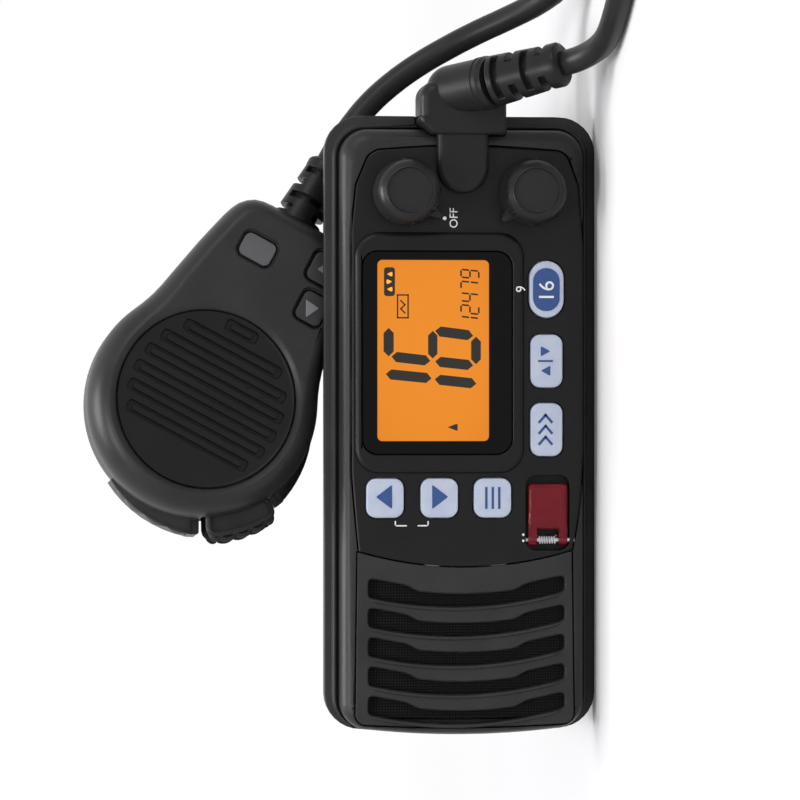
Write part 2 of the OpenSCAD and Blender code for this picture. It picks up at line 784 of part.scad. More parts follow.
module rear_chassis() color(charcoal) difference() {
    union() {
        slab(back_wall_y, back_wall_y - chassis_y) chassis_outline(0);
        for (i = [-fin_count:fin_count])
            translate([i * fin_pitch - fin_t / 2, back_wall_y - 1, 1])
                cube([fin_t, fin_d + 1, chassis_h - 2]);
        for (x = [antenna_x, power_x, accessory_xs[0], accessory_xs[1]])
            along_y(x, back_wall_y - 1, x == antenna_x ? antenna_z : gland_z)
                cylinder(h = fin_d + 1, r = x == antenna_x ? socket_boss_r : gland_boss_r,
                    $fn = round_fn);
    }
    difference() {
        slab(back_wall_y - chassis_wall, back_wall_y - chassis_wall - chassis_y + 1)
            chassis_outline(chassis_wall);
        for (s = [-1, 1]) translate([s * (chassis_w / 2 - chassis_wall + 1), bracket_y, bracket_z])
            rotate([0, -90 * s, 0]) cylinder(h = bracket_l, r = boss_r, $fn = round_fn);
        for (x = screw_xs, z = screw_zs) towards_viewer(x, chassis_y + 12, z)
            cylinder(h = 14, r = screw_boss_r, $fn = round_fn);
        for (x = board_xs, y = board_ys) translate([x, y, 0])
            cylinder(h = board_z, r = 3, $fn = round_fn);
    }
    for (s = [-1, 1]) translate([s * (chassis_w / 2 + 1), bracket_y, bracket_z])
        rotate([0, -90 * s, 0]) cylinder(h = bracket_l + 1, r = insert_r, $fn = round_fn);
    for (x = screw_xs, z = screw_zs) towards_viewer(x, flange_front_y + screw_l + 1, z)
        cylinder(h = 20, r = screw_r, $fn = round_fn);
    for (x = board_xs, y = board_ys) translate([x, y, board_z - 6])
        cylinder(h = 8, r = board_screw_r, $fn = round_fn);
    along_y(antenna_x, back_wall_y - 8, antenna_z) cylinder(h = 40, r = socket_r, $fn = round_fn);
    for (x = [power_x, accessory_xs[0], accessory_xs[1]])
        along_y(x, back_wall_y - 8, gland_z) cylinder(h = 40, r = gland_r, $fn = round_fn);
    top_slope();
}

insert_r = 4;
socket_r = 6.5;
gland_r = 3.6;
board_screw_r = 1.3;
board_xs = [-board_w / 2 + 5, board_w / 2 - 5];
board_ys = [board_y + 5, board_y + board_d - 5];

module bracket_insert(s) color(brass) translate([s * chassis_w / 2, bracket_y, bracket_z])
    rotate([0, -90 * s, 0]) difference() {
        cylinder(h = bracket_l, r = insert_r, $fn = round_fn);
        translate([0, 0, -1]) cylinder(h = bracket_l - 1, r = bracket_r, $fn = round_fn);
    }

module bracket_insert_left() bracket_insert(-1);
module bracket_insert_right() bracket_insert(1);

module antenna_socket() color(steel) along_y(antenna_x, back_wall_y - 6, antenna_z) {
    cylinder(h = 6 + fin_d, r = socket_r, $fn = round_fn);
    translate([0, 0, 6 + fin_d]) cylinder(h = 3, r = 9.6, $fn = 6);
    translate([0, 0, 9 + fin_d]) difference() {
        cylinder(h = antenna_l, r = antenna_r, $fn = round_fn);
        translate([0, 0, 2]) cylinder(h = antenna_l, r = antenna_r - 1.4, $fn = round_fn);
    }
    translate([0, 0, 9 + fin_d]) difference() {
        cylinder(h = antenna_l - 3, r = 3.4, $fn = round_fn);
        translate([0, 0, 3]) cylinder(h = antenna_l, r = 2, $fn = round_fn);
    }
}

// Gland whose lead isn't part of the model: a ribbed sleeve with an open bore
module gland(x) color(rubber) along_y(x, back_wall_y - 6, gland_z) rotate_extrude($fn = round_fn)
    polygon([[2, 0], [gland_r, 0], [gland_r, 6 + fin_d], [6, 6 + fin_d], [6, 8 + fin_d],
        [4.6, 9 + fin_d], [4.4, 11 + fin_d], [3.8, 11.6 + fin_d], [4.3, 12.2 + fin_d],
        [4.1, 14.6 + fin_d], [3.6, 15.2 + fin_d], [3.8, 18 + fin_d], [2, 18 + fin_d]]);

module power_gland() gland(power_x);
module accessory_gland() for (x = accessory_xs) gland(x);

module main_board() color(board_green) difference() {
    translate([-board_w / 2, board_y, board_z]) cube([board_w, board_d, board_t]);
    for (x = board_xs, y = board_ys) translate([x, y, board_z - 1])
        cylinder(h = board_t + 2, r = board_screw_r + 0.3, $fn = round_fn);
}

rf_w = 42;
rf_d = board_d - 30;
rf_h = 14;

module rf_module() color(steel) translate([10, board_y + 22, board_z + board_t]) {
    cube([rf_w, rf_d, rf_h]);
    translate([3, 3, rf_h - join]) cube([rf_w - 6, rf_d - 6, 0.6]);
}

module board_screws() color(steel) for (x = board_xs, y = board_ys)
    translate([x, y, board_z + board_t]) {
        translate([0, 0, -board_t - 5]) cylinder(h = board_t + 5, r = board_screw_r, $fn = round_fn);
        difference() {
            cylinder(h = 1.8, r = 2.6, $fn = round_fn);
            translate([0, 0, 0.9]) cylinder(h = 2, r = 1.2, $fn = 6);
        }
    }

// Countersunk screws that hold the flange to the casting
screw_head_r = 3;

module casing_screws() color(steel) for (x = screw_xs, z = screw_zs)
    towards_viewer(x, flange_front_y, z) difference() {
        translate([0, 0, -screw_l]) union() {
            cylinder(h = screw_l, r = screw_r, $fn = round_fn);
            translate([0, 0, screw_l - 1.4])
                cylinder(h = 1.4, r1 = screw_r, r2 = screw_head_r, $fn = round_fn);
        }
        for (a = [0, 90]) rotate([0, 0, a]) translate([-2, -0.3, -0.8]) cube([4, 0.6, 1]);
    }

// Collar and tongue of the microphone lead over the right edge of the front
module collar_shape(grow = 0) translate([0, lead_z]) polygon([
    [collar_x0 - grow, -collar_h / 2 - grow], [front_w / 2 + 4, -collar_h / 2 - grow],
    [front_w / 2 + 4, collar_h / 2 + grow], [collar_x0 + 3 - grow, collar_h / 2 + grow],
    [collar_x0 - grow, collar_h / 2 - 3 + grow]]);

module tongue_shape(grow = 0) translate([0, lead_z]) {
    translate([tongue_x0 + tongue_w / 2, 0]) circle(tongue_w / 2 + grow, $fn = round_fn);
    translate([tongue_x0 + tongue_w / 2, -tongue_w / 2 - grow])
        square([collar_x0 + 1 - tongue_x0 - tongue_w / 2, tongue_w + 2 * grow]);
}

module tongue_key(grow = 0) intersection() {
    tongue_shape(grow);
    translate([tongue_key_x - grow, 0]) square([20, front_h]);
}

module collar_notch(grow) {
    slab(collar_back_y + grow, 30) collar_shape(grow);
    slab(tongue_key_y + grow, 10) tongue_key(grow);
}

module lead_cover() color(rubber) {
    slab(collar_back_y, collar_back_y - face_y + collar_proud - 1) intersection() {
        collar_shape();
        square([collar_x1, front_h]);
    }
    hull() {
        slab(face_y - collar_proud + 1.05, 0.1) intersection() {
            collar_shape();
            square([collar_x1, front_h]);
        }
        slab(face_y - collar_proud + 0.1, 0.1) intersection() {
            collar_shape(-1);
            square([collar_x1, front_h]);
        }
    }
    slab(tongue_key_y, tongue_key_y - face_y + join) tongue_key();
    slab(face_y, tongue_proud - 0.8) tongue_shape();
    slab(face_y - tongue_proud + 0.82, 0.42) tongue_shape(-0.4);
    slab(face_y - tongue_proud + 0.42, 0.42) tongue_shape(-1);
}

// Elbow beside the collar, and the relief that leaves it downwards
module along(p, q) {
    d = q - p;
    translate(p) rotate([0, acos(d[2] / norm(d)), atan2(d[1], d[0])]) children();
}

// Side of the elbow: flat against the collar, with round outer corners
module elbow_side(in) {
    r = 4 - in / 2;
    h = collar_h / 2 - in;
    x = elbow_w - in - r;
    translate([collar_x1, lead_z]) polygon(concat([[0, -h]], arc([x, -h + r], r, -90, 0),
        arc([x, h - r], r, 0, 90), [[0, h]]));
}

module lead_elbow() color(rubber) {
    back_y = collar_back_y - elbow_back;
    depth = back_y - face_y + collar_proud;
    hull() {
        slab(back_y, 0.1) elbow_side(1.6);
        slab(back_y - 1.6, depth - 4) elbow_side(0);
        slab(back_y - depth + 0.9, 0.1) elbow_side(0.9);
        slab(back_y - depth + 0.1, 0.1) elbow_side(2.6);
    }
    hull() {
        translate(elbow_p) sphere(elbow_r, $fn = 24);
        along(relief_p, relief_q) cylinder(h = 0.5, r = elbow_r, $fn = 24);
    }
}

// Ribs from r0 to r1, and a chamfered ferrule at the cord's end
ferrule_l = 3.4;

module ribbed_relief(l, r0, r1, ribs) {
    pitch = (l - ferrule_l) / ribs;
    rotate_extrude($fn = round_fn) polygon(concat([[cord_d / 2 - 0.1, 0]],
        [for (i = [0:ribs - 1]) let (r = r0 + (r1 - r0) * i / (ribs - 1)) each [
            [r, i * pitch], [r, (i + 0.62) * pitch],
            [r - 1, (i + 0.66) * pitch], [r - 1, (i + 0.98) * pitch]]],
        [[r1 + 0.1, l - ferrule_l], [r1 + 0.1, l - 1.1], [r1 - 0.8, l], [cord_d / 2 - 0.1, l]]));
}

module lead_relief() color(rubber) along(relief_p, relief_q)
    translate([0, 0, 0.5]) ribbed_relief(relief_l, elbow_r, relief_tip_r, 4);

// Microphone, in its own frame: x to the cord, z to the front
module at_mic() translate(mic_pos) rotate([0, 0, mic_yaw]) rotate([-mic_lean, 0, 0])
    rotate([90, 0, 0]) rotate([0, 0, -mic_tilt]) children();

neck_corner = 5;

// The neck narrows to its end, and both ends are rounded
module neck_shape(in = 0, from = 6) {
    r = neck_corner - in;
    x1 = neck_l - neck_corner;
    y0 = neck_root - neck_corner;
    y1 = neck_end - neck_corner;
    slope = atan2(y0 - y1, x1 - from);
    polygon(concat(arc([x1, y1], r, 0, 90 - slope), arc([from, y0], r, 90 - slope, 180),
        arc([from, -y0], r, 180, 270 + slope), arc([x1, -y1], r, 270 + slope, 360)));
}

// Half a case: a dome on the head and a rounded neck, d deep
module half_case(d, flat_r) {
    rotate_extrude($fn = 96) polygon(concat([[0, 0], [head_r, 0]],
        [for (i = [0:8]) let (a = 90 * i / 8)
            [flat_r + (head_r - flat_r) * cos(a), d * 0.3 + d * 0.7 * sin(a)]],
        [[0, d]]));
    hull() for (i = [0:5]) let (a = 90 * i / 5, in = 4.5 * (1 - cos(a)))
        translate([0, 0, i == 0 ? 0 : (d - 0.7) * (0.45 + 0.55 * sin(a)) - 0.1])
            linear_extrude(0.1) neck_shape(in);
}

hollow_share = 0.55;

module half_hollow(d) {
    translate([0, 0, -1]) cylinder(h = d * hollow_share + 1, r = head_r - mic_wall, $fn = 96);
    translate([0, 0, -1]) cylinder(h = d - mic_wall + 1, r = grille_r - 2, $fn = 96);
    translate([0, 0, -1]) linear_extrude(d - mic_wall - 1.2) neck_shape(mic_wall, 10);
}

module sector(r0, r1, a0, a1) intersection() {
    difference() {
        circle(r1, $fn = 96);
        circle(r0, $fn = 96);
    }
    polygon([[0, 0], 60 * [cos(a0), sin(a0)], 60 * [cos((a0 + a1) / 2), sin((a0 + a1) / 2)],
        60 * [cos(a1), sin(a1)]]);
}

// Window of the talk lever, through both halves
module ptt_window() translate([0, 0, -ptt_half - 0.4]) linear_extrude(2 * ptt_half + 0.8)
    sector(ptt_window_r, head_r + 8, ptt_a0 - ptt_gap_a, ptt_a1 + ptt_gap_a);

module relief_hole() translate([neck_l - 8, 0, 0]) rotate([0, 90, 0])
    cylinder(h = 20, r = relief_neck_r + fit_gap, $fn = round_fn);

module mic_front_shell() color(charcoal) at_mic() difference() {
    half_case(mic_front_d, grille_r + 0.4);
    half_hollow(mic_front_d);
    translate([0, 0, mic_front_d - grille_t]) cylinder(h = 5, r = grille_r + 0.1, $fn = 96);
    for (k = mic_keys) translate([k[0], k[1], 0]) {
        linear_extrude(20) rounded_rect(k[2] + 2 * key_gap, k[3] + 2 * key_gap, 1.8);
        translate([0, 0, mic_key_z - 1.5]) linear_extrude(1.6 + key_rim_t)
            rounded_rect(k[2] + 2 * mic_rim + 0.6, k[3] + 2 * mic_rim + 0.6, 2);
    }
    ptt_window();
    relief_hole();
}

module mic_rear_shell() color(charcoal) at_mic() difference() {
    union() {
        difference() {
            mirror([0, 0, 1]) half_case(mic_rear_d, grille_r - 3);
            mirror([0, 0, 1]) half_hollow(mic_rear_d);
        }
        for (p = mic_screw_ps) translate([p[0], p[1], -mic_rear_d + 2])
            cylinder(h = mic_rear_d - 2, r = 2.8, $fn = round_fn);
        for (x = [20, 36], y = [-8, 8]) translate([x, y, -mic_rear_d + 2])
            cylinder(h = mic_rear_d - 2 + mic_board_z, r = 1.8, $fn = round_fn);
        mirror([0, 0, 1]) translate([0, 0, 1]) linear_extrude(mic_rear_d * 0.6) guard_lips();
    }
    ptt_window();
    relief_hole();
    for (p = mic_screw_ps) translate([p[0], p[1], -mic_rear_d - 1]) {
        cylinder(h = mic_rear_d - 3, r = 1.2, $fn = round_fn);
        cylinder(h = 1 + mic_screw_sink + mic_head_t, r = 2.5, $fn = round_fn);
    }
    translate([stud_x, 0, -mic_rear_d - 1]) cylinder(h = 5, r = stud_r + fit_gap, $fn = round_fn);
}

// Lips that guard the talk lever on both sides
module guard_lips() {
    sector_lip(158, 204, 29.2, 32.4);
    sector_lip(247, 280, 31.8, 29.4);
}

module sector_lip(a0, a1, r0, r1) polygon(concat(
    [for (i = [0:8]) let (a = a0 + (a1 - a0) * i / 8) (r0 + (r1 - r0) * i / 8) * [cos(a), sin(a)]],
    [for (i = [8:-1:0]) let (a = a0 + (a1 - a0) * i / 8) (head_r - 1.5) * [cos(a), sin(a)]]));

module mic_grille() color(charcoal) at_mic() translate([0, 0, mic_front_d - grille_t])
    difference() {
        cylinder(h = grille_t, r = grille_r, $fn = 96);
        for (i = [0:grille_slots - 1]) let (u = slot_u0 + i * grille_pitch,
                half = sqrt(pow(grille_r - 2.6, 2) - u * u) - 1)
            translate([u, 0, -1]) linear_extrude(grille_t + 2) {
                square([2, 2 * half], center = true);
                for (s = [-1, 1]) translate([0, s * half]) circle(1, $fn = 16);
            }
    }

module mic_capsule() color(steel) at_mic() translate([3, 0, mic_board_z + board_t])
    cylinder(h = 5.6, r = 6, $fn = round_fn);

mic_board_l = 50;
mic_board_w = 22;

module mic_board() color(board_green) at_mic() translate([-6, -mic_board_w / 2, mic_board_z])
    cube([mic_board_l, mic_board_w, board_t]);

module mic_ptt() color(rubber) at_mic() translate([0, 0, -ptt_half])
    linear_extrude(2 * ptt_half) {
        difference() {
            sector(head_r - mic_wall - 0.4, ptt_r, ptt_a0, ptt_a1);
            for (i = [0:3]) let (a = ptt_a0 + 9 + 6.2 * i) translate((ptt_r + 0.6) * [cos(a), sin(a)])
                circle(1.1, $fn = 16);
        }
        sector(head_r - mic_wall - 1.8, head_r - mic_wall - 0.25, ptt_a0 - 5, ptt_a1 + 5);
    }

// Switch that the lever reaches at the end of its travel
module mic_ptt_switch() color(gloss_black) at_mic() rotate([0, 0, ptt_a])
    translate([switch_r - 6, -4, -mic_rear_d * hollow_share]) {
        cube([5, 8, mic_rear_d * hollow_share + 3]);
        translate([5 - join, 2.6, mic_rear_d * hollow_share - 1.4]) cube([1, 2.8, 2.8]);
    }

module mic_key(i) color(flange_grey) at_mic() translate([mic_keys[i][0], mic_keys[i][1], 0]) {
    k = mic_keys[i];
    top = mic_front_d - k[4];
    translate([0, 0, mic_key_z]) linear_extrude(key_rim_t)
        rounded_rect(k[2] + 2 * mic_rim, k[3] + 2 * mic_rim, 2);
    hull() {
        translate([0, 0, mic_key_z]) linear_extrude(top - mic_key_z - 0.5)
            rounded_rect(k[2], k[3], 1.6);
        translate([0, 0, top - 0.1]) linear_extrude(0.1) rounded_rect(k[2] - 1, k[3] - 1, 1.4);
    }
}

module mic_key_power() mic_key(0);
module mic_key_up() mic_key(1);
module mic_key_down() mic_key(2);

module mic_hanger_stud() color(steel) at_mic() translate([stud_x, 0, -mic_rear_d - 5])
    rotate_extrude($fn = round_fn)
        polygon([[0, 0], [6.2, 0], [6.8, 0.6], [6.8, 1.6], [6.2, 2], [stud_r, 2], [stud_r, 7], [0, 7]]);

module mic_screws() color(steel) at_mic() for (p = mic_screw_ps)
    translate([p[0], p[1], -mic_rear_d + mic_screw_sink]) difference() {
        union() {
            cylinder(h = mic_head_t, r = 2.4, $fn = round_fn);
            cylinder(h = mic_rear_d - 5, r = 1.2, $fn = round_fn);
        }
        translate([0, 0, -1]) cylinder(h = 1.6, r = 1, $fn = 6);
    }

module mic_relief() color(rubber) at_mic() {
    translate([neck_l - 3.5, 0, 0]) rotate([0, 90, 0]) rotate_extrude($fn = round_fn)
        polygon([[cord_d / 2 - 0.1, 0], [relief_neck_r, 0], [relief_neck_r, 3.6],
            [cord_d / 2 - 0.1, 3.6]]);
    translate([neck_l, 0, 0]) rotate([0, 90, 0]) ribbed_relief(mic_relief_l, 6.3, 4.4, 5);
}

// Cord from the microphone to the floor, past the right end of the set
mic_end_ps = mic_run([[62.5, -31, 66.6], [66, -30.5, 64.7], [71, -29.6, 61.8], [76, -28.4, 58.2],
    [81, -27, 54], [86, -26, 48.6], [91, -26, 41.8], [95.5, -27.4, 34.2], [99.5, -30.6, 26.4],
    [103, -35.6, 18.6], [106.6, -42, 11.6], [111, -49, 6.6], [116.5, -55.5, 3.9],
    [123, -60.6, 3.1], [130, -62, 3.1]]);
// Cord from the relief of the set to the floor
plug_end_ps = plug_run([[87, -75.9, 14.5], [87.8, -78, 11.2], [88.8, -81.6, 7.9], [90.2, -86.2, 5.3],
    [91.8, -91.6, 3.8], [94, -97.8, 3.2], [96.8, -104.5, 3.1], [100.6, -112, 3.1],
    [105.2, -119.6, 3.1], [110.6, -127.6, 3.1], [116.5, -135.6, 3.1], [123, -142.8, 3.1],
    [130, -146, 3.1]]);

// Points on a smooth curve through a list, k to each stretch
function spline_at(a, b, c, d, t) = 0.5 * ((2 * b) + (c - a) * t
    + (2 * a - 5 * b + 4 * c - d) * t * t + (3 * b - a - 3 * c + d) * t * t * t);
function smooth(ps, k) = let (n = len(ps)) concat(
    [for (i = [0:n - 2], j = [0:k - 1])
        spline_at(ps[max(i - 1, 0)], ps[i], ps[i + 1], ps[min(i + 2, n - 1)], j / k)],
    [ps[n - 1]]);

// The mic's end keeps to the microphone, and the rest follows the right end of the set
function mic_run(ps) = [for (i = [0:len(ps) - 1]) ps[i] + [wider * i / (len(ps) - 1), 0, 0]];
function plug_run(ps) = [for (p = ps)
    p + [wider, 0, (lead_z - 34) * (p[2] - cord_d / 2) / (ps[0][2] - cord_d / 2)]];

module free_cord(ps) {
    path = smooth(ps, 1);
    tube(path, [for (p = path) [0.3, 1, 0.25]], cord_d / 2, 10);
}

module cord_mic_end() color(rubber) free_cord(mic_end_ps);
module cord_plug_end() color(rubber) free_cord(plug_end_ps);

// The curly stretch lies on the floor in a U, from one cord end to the other
u_start = mic_end_ps[len(mic_end_ps) - 1];
u_end = plug_end_ps[len(plug_end_ps) - 1];
u_r = (u_start[1] - u_end[1]) / 2;
u_arm = 25;
u_arc = 180 * u_r * PI / 180;
u_len = 2 * u_arm + u_arc;
lead_in = 1.4;

// Place, heading and side of the U's centre line at a length s
function u_at(s) = s < u_arm ? [[u_start[0] + s, u_start[1]], 0]
    : s > u_arm + u_arc ? [[u_start[0] + u_len - s, u_end[1]], -180]
    : let (a = (s - u_arm) / u_r * 180 / PI)
        [[u_start[0] + u_arm + u_r * sin(a), u_start[1] - u_r * (1 - cos(a))], -a];

// The ends run straight for a cord's diameter, and the curls grow over lead_in turns
curl_run = u_len - 2 * cord_d;
function curl_at(t) = let (u = u_at(cord_d + t * curl_run),
        f = min(1, min(t, 1 - t) * curl_count / lead_in),
        r = curl_r * f * f * (3 - 2 * f), a = 360 * curl_count * t - 90)
    [u[0][0] - r * cos(a) * sin(u[1]), u[0][1] + r * cos(a) * cos(u[1]),
        cord_d / 2 + r + r * sin(a)];
curl_steps = curl_count * 8;
curl_ps = concat([u_start], [for (i = [0:curl_steps]) curl_at(i / curl_steps)], [u_end]);

// Least gap from one curl to the next, between points that are some way apart on the cord
function run_of(i, j) = j == 0 ? 0 : norm(curl_ps[i + j] - curl_ps[i + j - 1]) + run_of(i, j - 1);
curl_gap = min([for (i = [0:curl_steps - 11], j = [4:12]) if (run_of(i, j) > 3 * cord_d)
    norm(curl_ps[i + j] - curl_ps[i])]) - cord_d;
echo(least_gap_between_curls = curl_gap);

module cord_curly() color(rubber)
    tube(curl_ps, [for (i = [-1:curl_steps + 1])
        let (u = u_at(cord_d + max(0, min(1, i / curl_steps)) * curl_run))
            [cos(u[1]), sin(u[1]), 0.02]], cord_d / 2, 6);

front_bezel();
panel_flange();
panel_gasket();
control_panel();
speaker_grille();
speaker_mesh();
speaker_driver();
lcd_bezel();
lcd_window();
lcd_module();
key_up();
key_down();
key_menu();
key_scan();
key_channel();
key_16();
keypad_membrane();
front_board();
knob_volume();
knob_squelch();
volume_shaft();
squelch_shaft();
volume_control();
squelch_control();
knob_seals();
distress_key();
distress_cover();
cover_pin();
cover_spring();
rear_chassis();
main_board();
rf_module();
board_screws();
bracket_insert_left();
bracket_insert_right();
antenna_socket();
power_gland();
accessory_gland();
casing_screws();
lead_cover();
lead_elbow();
lead_relief();
mic_front_shell();
mic_rear_shell();
mic_grille();
mic_capsule();
mic_board();
mic_ptt();
mic_ptt_switch();
mic_key_power();
mic_key_up();
mic_key_down();
mic_hanger_stud();
mic_screws();
mic_relief();
cord_mic_end();
cord_curly();
cord_plug_end();
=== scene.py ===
"""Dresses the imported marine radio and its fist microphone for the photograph's view.

Sizes in this file are millimetres, and every mesh is scaled to metres as it is made.
"""

from __future__ import annotations

import json
import logging
import math
from dataclasses import dataclass, field
from enum import Enum
from typing import Any, Callable, Sequence

import bmesh
import bpy
from mathutils import Matrix, Vector

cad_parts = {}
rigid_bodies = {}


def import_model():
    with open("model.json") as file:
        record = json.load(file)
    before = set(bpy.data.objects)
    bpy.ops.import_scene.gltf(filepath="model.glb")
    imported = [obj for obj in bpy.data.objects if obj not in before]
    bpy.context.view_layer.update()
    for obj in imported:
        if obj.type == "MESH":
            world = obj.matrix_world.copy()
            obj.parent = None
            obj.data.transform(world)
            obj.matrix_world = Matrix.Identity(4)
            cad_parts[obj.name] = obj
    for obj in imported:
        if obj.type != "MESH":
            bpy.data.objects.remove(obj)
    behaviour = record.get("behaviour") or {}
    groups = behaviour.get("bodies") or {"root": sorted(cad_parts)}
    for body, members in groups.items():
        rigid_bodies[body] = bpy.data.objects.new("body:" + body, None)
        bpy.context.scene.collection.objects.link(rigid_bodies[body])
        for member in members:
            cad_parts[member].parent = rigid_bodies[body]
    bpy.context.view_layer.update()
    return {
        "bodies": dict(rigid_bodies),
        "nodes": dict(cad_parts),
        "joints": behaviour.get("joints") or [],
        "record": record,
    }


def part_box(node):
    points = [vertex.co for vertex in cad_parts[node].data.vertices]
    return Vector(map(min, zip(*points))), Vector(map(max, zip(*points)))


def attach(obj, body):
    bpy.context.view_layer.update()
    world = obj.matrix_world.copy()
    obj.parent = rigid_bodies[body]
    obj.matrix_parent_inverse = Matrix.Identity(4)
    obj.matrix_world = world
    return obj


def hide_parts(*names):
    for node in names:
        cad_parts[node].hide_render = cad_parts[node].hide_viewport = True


LOG = logging.getLogger("radio")
MM = 0.001
# Distance, in metres, within which two corners of a mesh are one.
WELD = 1e-6
# Depth of the front's face.
FACE_Y = -60.0
# Depths behind and before every piece of the front, for tools that cut right through.
BEHIND = -50.0
BEFORE = -70.0
# Depth just before the front's inserts and lens.
CLEAR = -62.0

Point = tuple[float, float]
Outline = list[Point]
Ring = list[Vector]
Colour = tuple[float, float, float]


def linear(red: float, green: float, blue: float) -> Colour:
    """Turns a colour written in 0 to 255 steps into scene-linear values."""
    return tuple(
        c / 12.92 if c <= 0.04045 else ((c + 0.055) / 1.055) ** 2.4
        for c in (red / 255, green / 255, blue / 255)
    )


WHITE = linear(255, 255, 255)


def times(colour: Colour, *shares: float) -> Colour:
    """Multiplies a colour by one share, or each of its channels by its own."""
    return tuple(c * share for c, share in zip(colour, shares * (3 if len(shares) == 1 else 1)))


class Paint(Enum):
    """The object's colours, as the eye sees them."""

    CASE = linear(20, 20, 21)
    SHOULDER = linear(42, 42, 43)
    FLANGE = linear(44, 44, 45)
    MIC = linear(40, 40, 41)
    MIC_GRILLE = linear(18, 18, 19)
    MIC_KEY = linear(82, 82, 84)
    MIC_ARROW_KEY = linear(50, 50, 51)
    KNOB = linear(34, 34, 35)
    LENS = linear(4, 4, 5)
    AMBER = linear(243, 146, 44)
    DIGIT = linear(48, 46, 42)
    KEY = linear(172, 178, 193)
    KEY_MARK = linear(56, 80, 128)
    WHITE_MARK = linear(214, 214, 214)
    GREY_MARK = linear(112, 112, 114)
    CRIMSON = linear(150, 24, 46)
    CLEAR_RED = linear(120, 6, 26)
    RUBBER = linear(29, 29, 30)
    CORD = linear(36, 36, 37)
    CASTING = linear(26, 26, 27)
    STEEL = linear(196, 196, 200)
    NICKEL = linear(206, 204, 198)
    BRASS = linear(204, 168, 98)
    BOARD = linear(18, 84, 52)
    FLOOR = linear(236, 236, 237)


class Body(Enum):
    """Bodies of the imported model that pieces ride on."""

    SET = "set"
    VOLUME = "volume"
    SQUELCH = "squelch"
    DISTRESS_BUTTON = "distress_button"
    DISTRESS_LID = "distress_lid"
    TALK = "talk_lever"


# ---------------------------------------------------------------- shader maths


class Sock:
    """A node socket whose maths is written as Python expressions."""

    def __init__(self, shader: Shader, value: Any) -> None:
        """Wraps a socket of one shader's node tree."""
        self.shader = shader
        self.value = value

    def math(self, operation: str, *others: Any, clamp: bool = False) -> Sock:
        """Adds a Math node.

        Args:
            operation: the Math node's operation.
            others: its second and third operands.
            clamp: whether the result stays from 0 to 1.

        Returns:
            The node's result.
        """
        settings = {"operation": operation, "use_clamp": clamp}
        return self.shader.node("ShaderNodeMath", settings, dict(enumerate((self, *others))))

    def __add__(self, other: Any) -> Sock:
        """Adds a value."""
        return self.math("ADD", other)

    def __sub__(self, other: Any) -> Sock:
        """Takes a value away."""
        return self.math("SUBTRACT", other)

    def __mul__(self, other: Any) -> Sock:
        """Multiplies by a value."""
        return self.math("MULTIPLY", other)

    def __truediv__(self, other: Any) -> Sock:
        """Divides by a value."""
        return self.math("DIVIDE", other)

    def clamp(self) -> Sock:
        """Keeps the value from 0 to 1."""
        return self.math("ADD", 0.0, clamp=True)

    def above(self, low: float, high: float) -> Sock:
        """Rises smoothly from 0 at low to 1 at high."""
        settings = {"interpolation_type": "SMOOTHSTEP"}
        return self.shader.node("ShaderNodeMapRange", settings, {0: self, 1: low, 2: high})


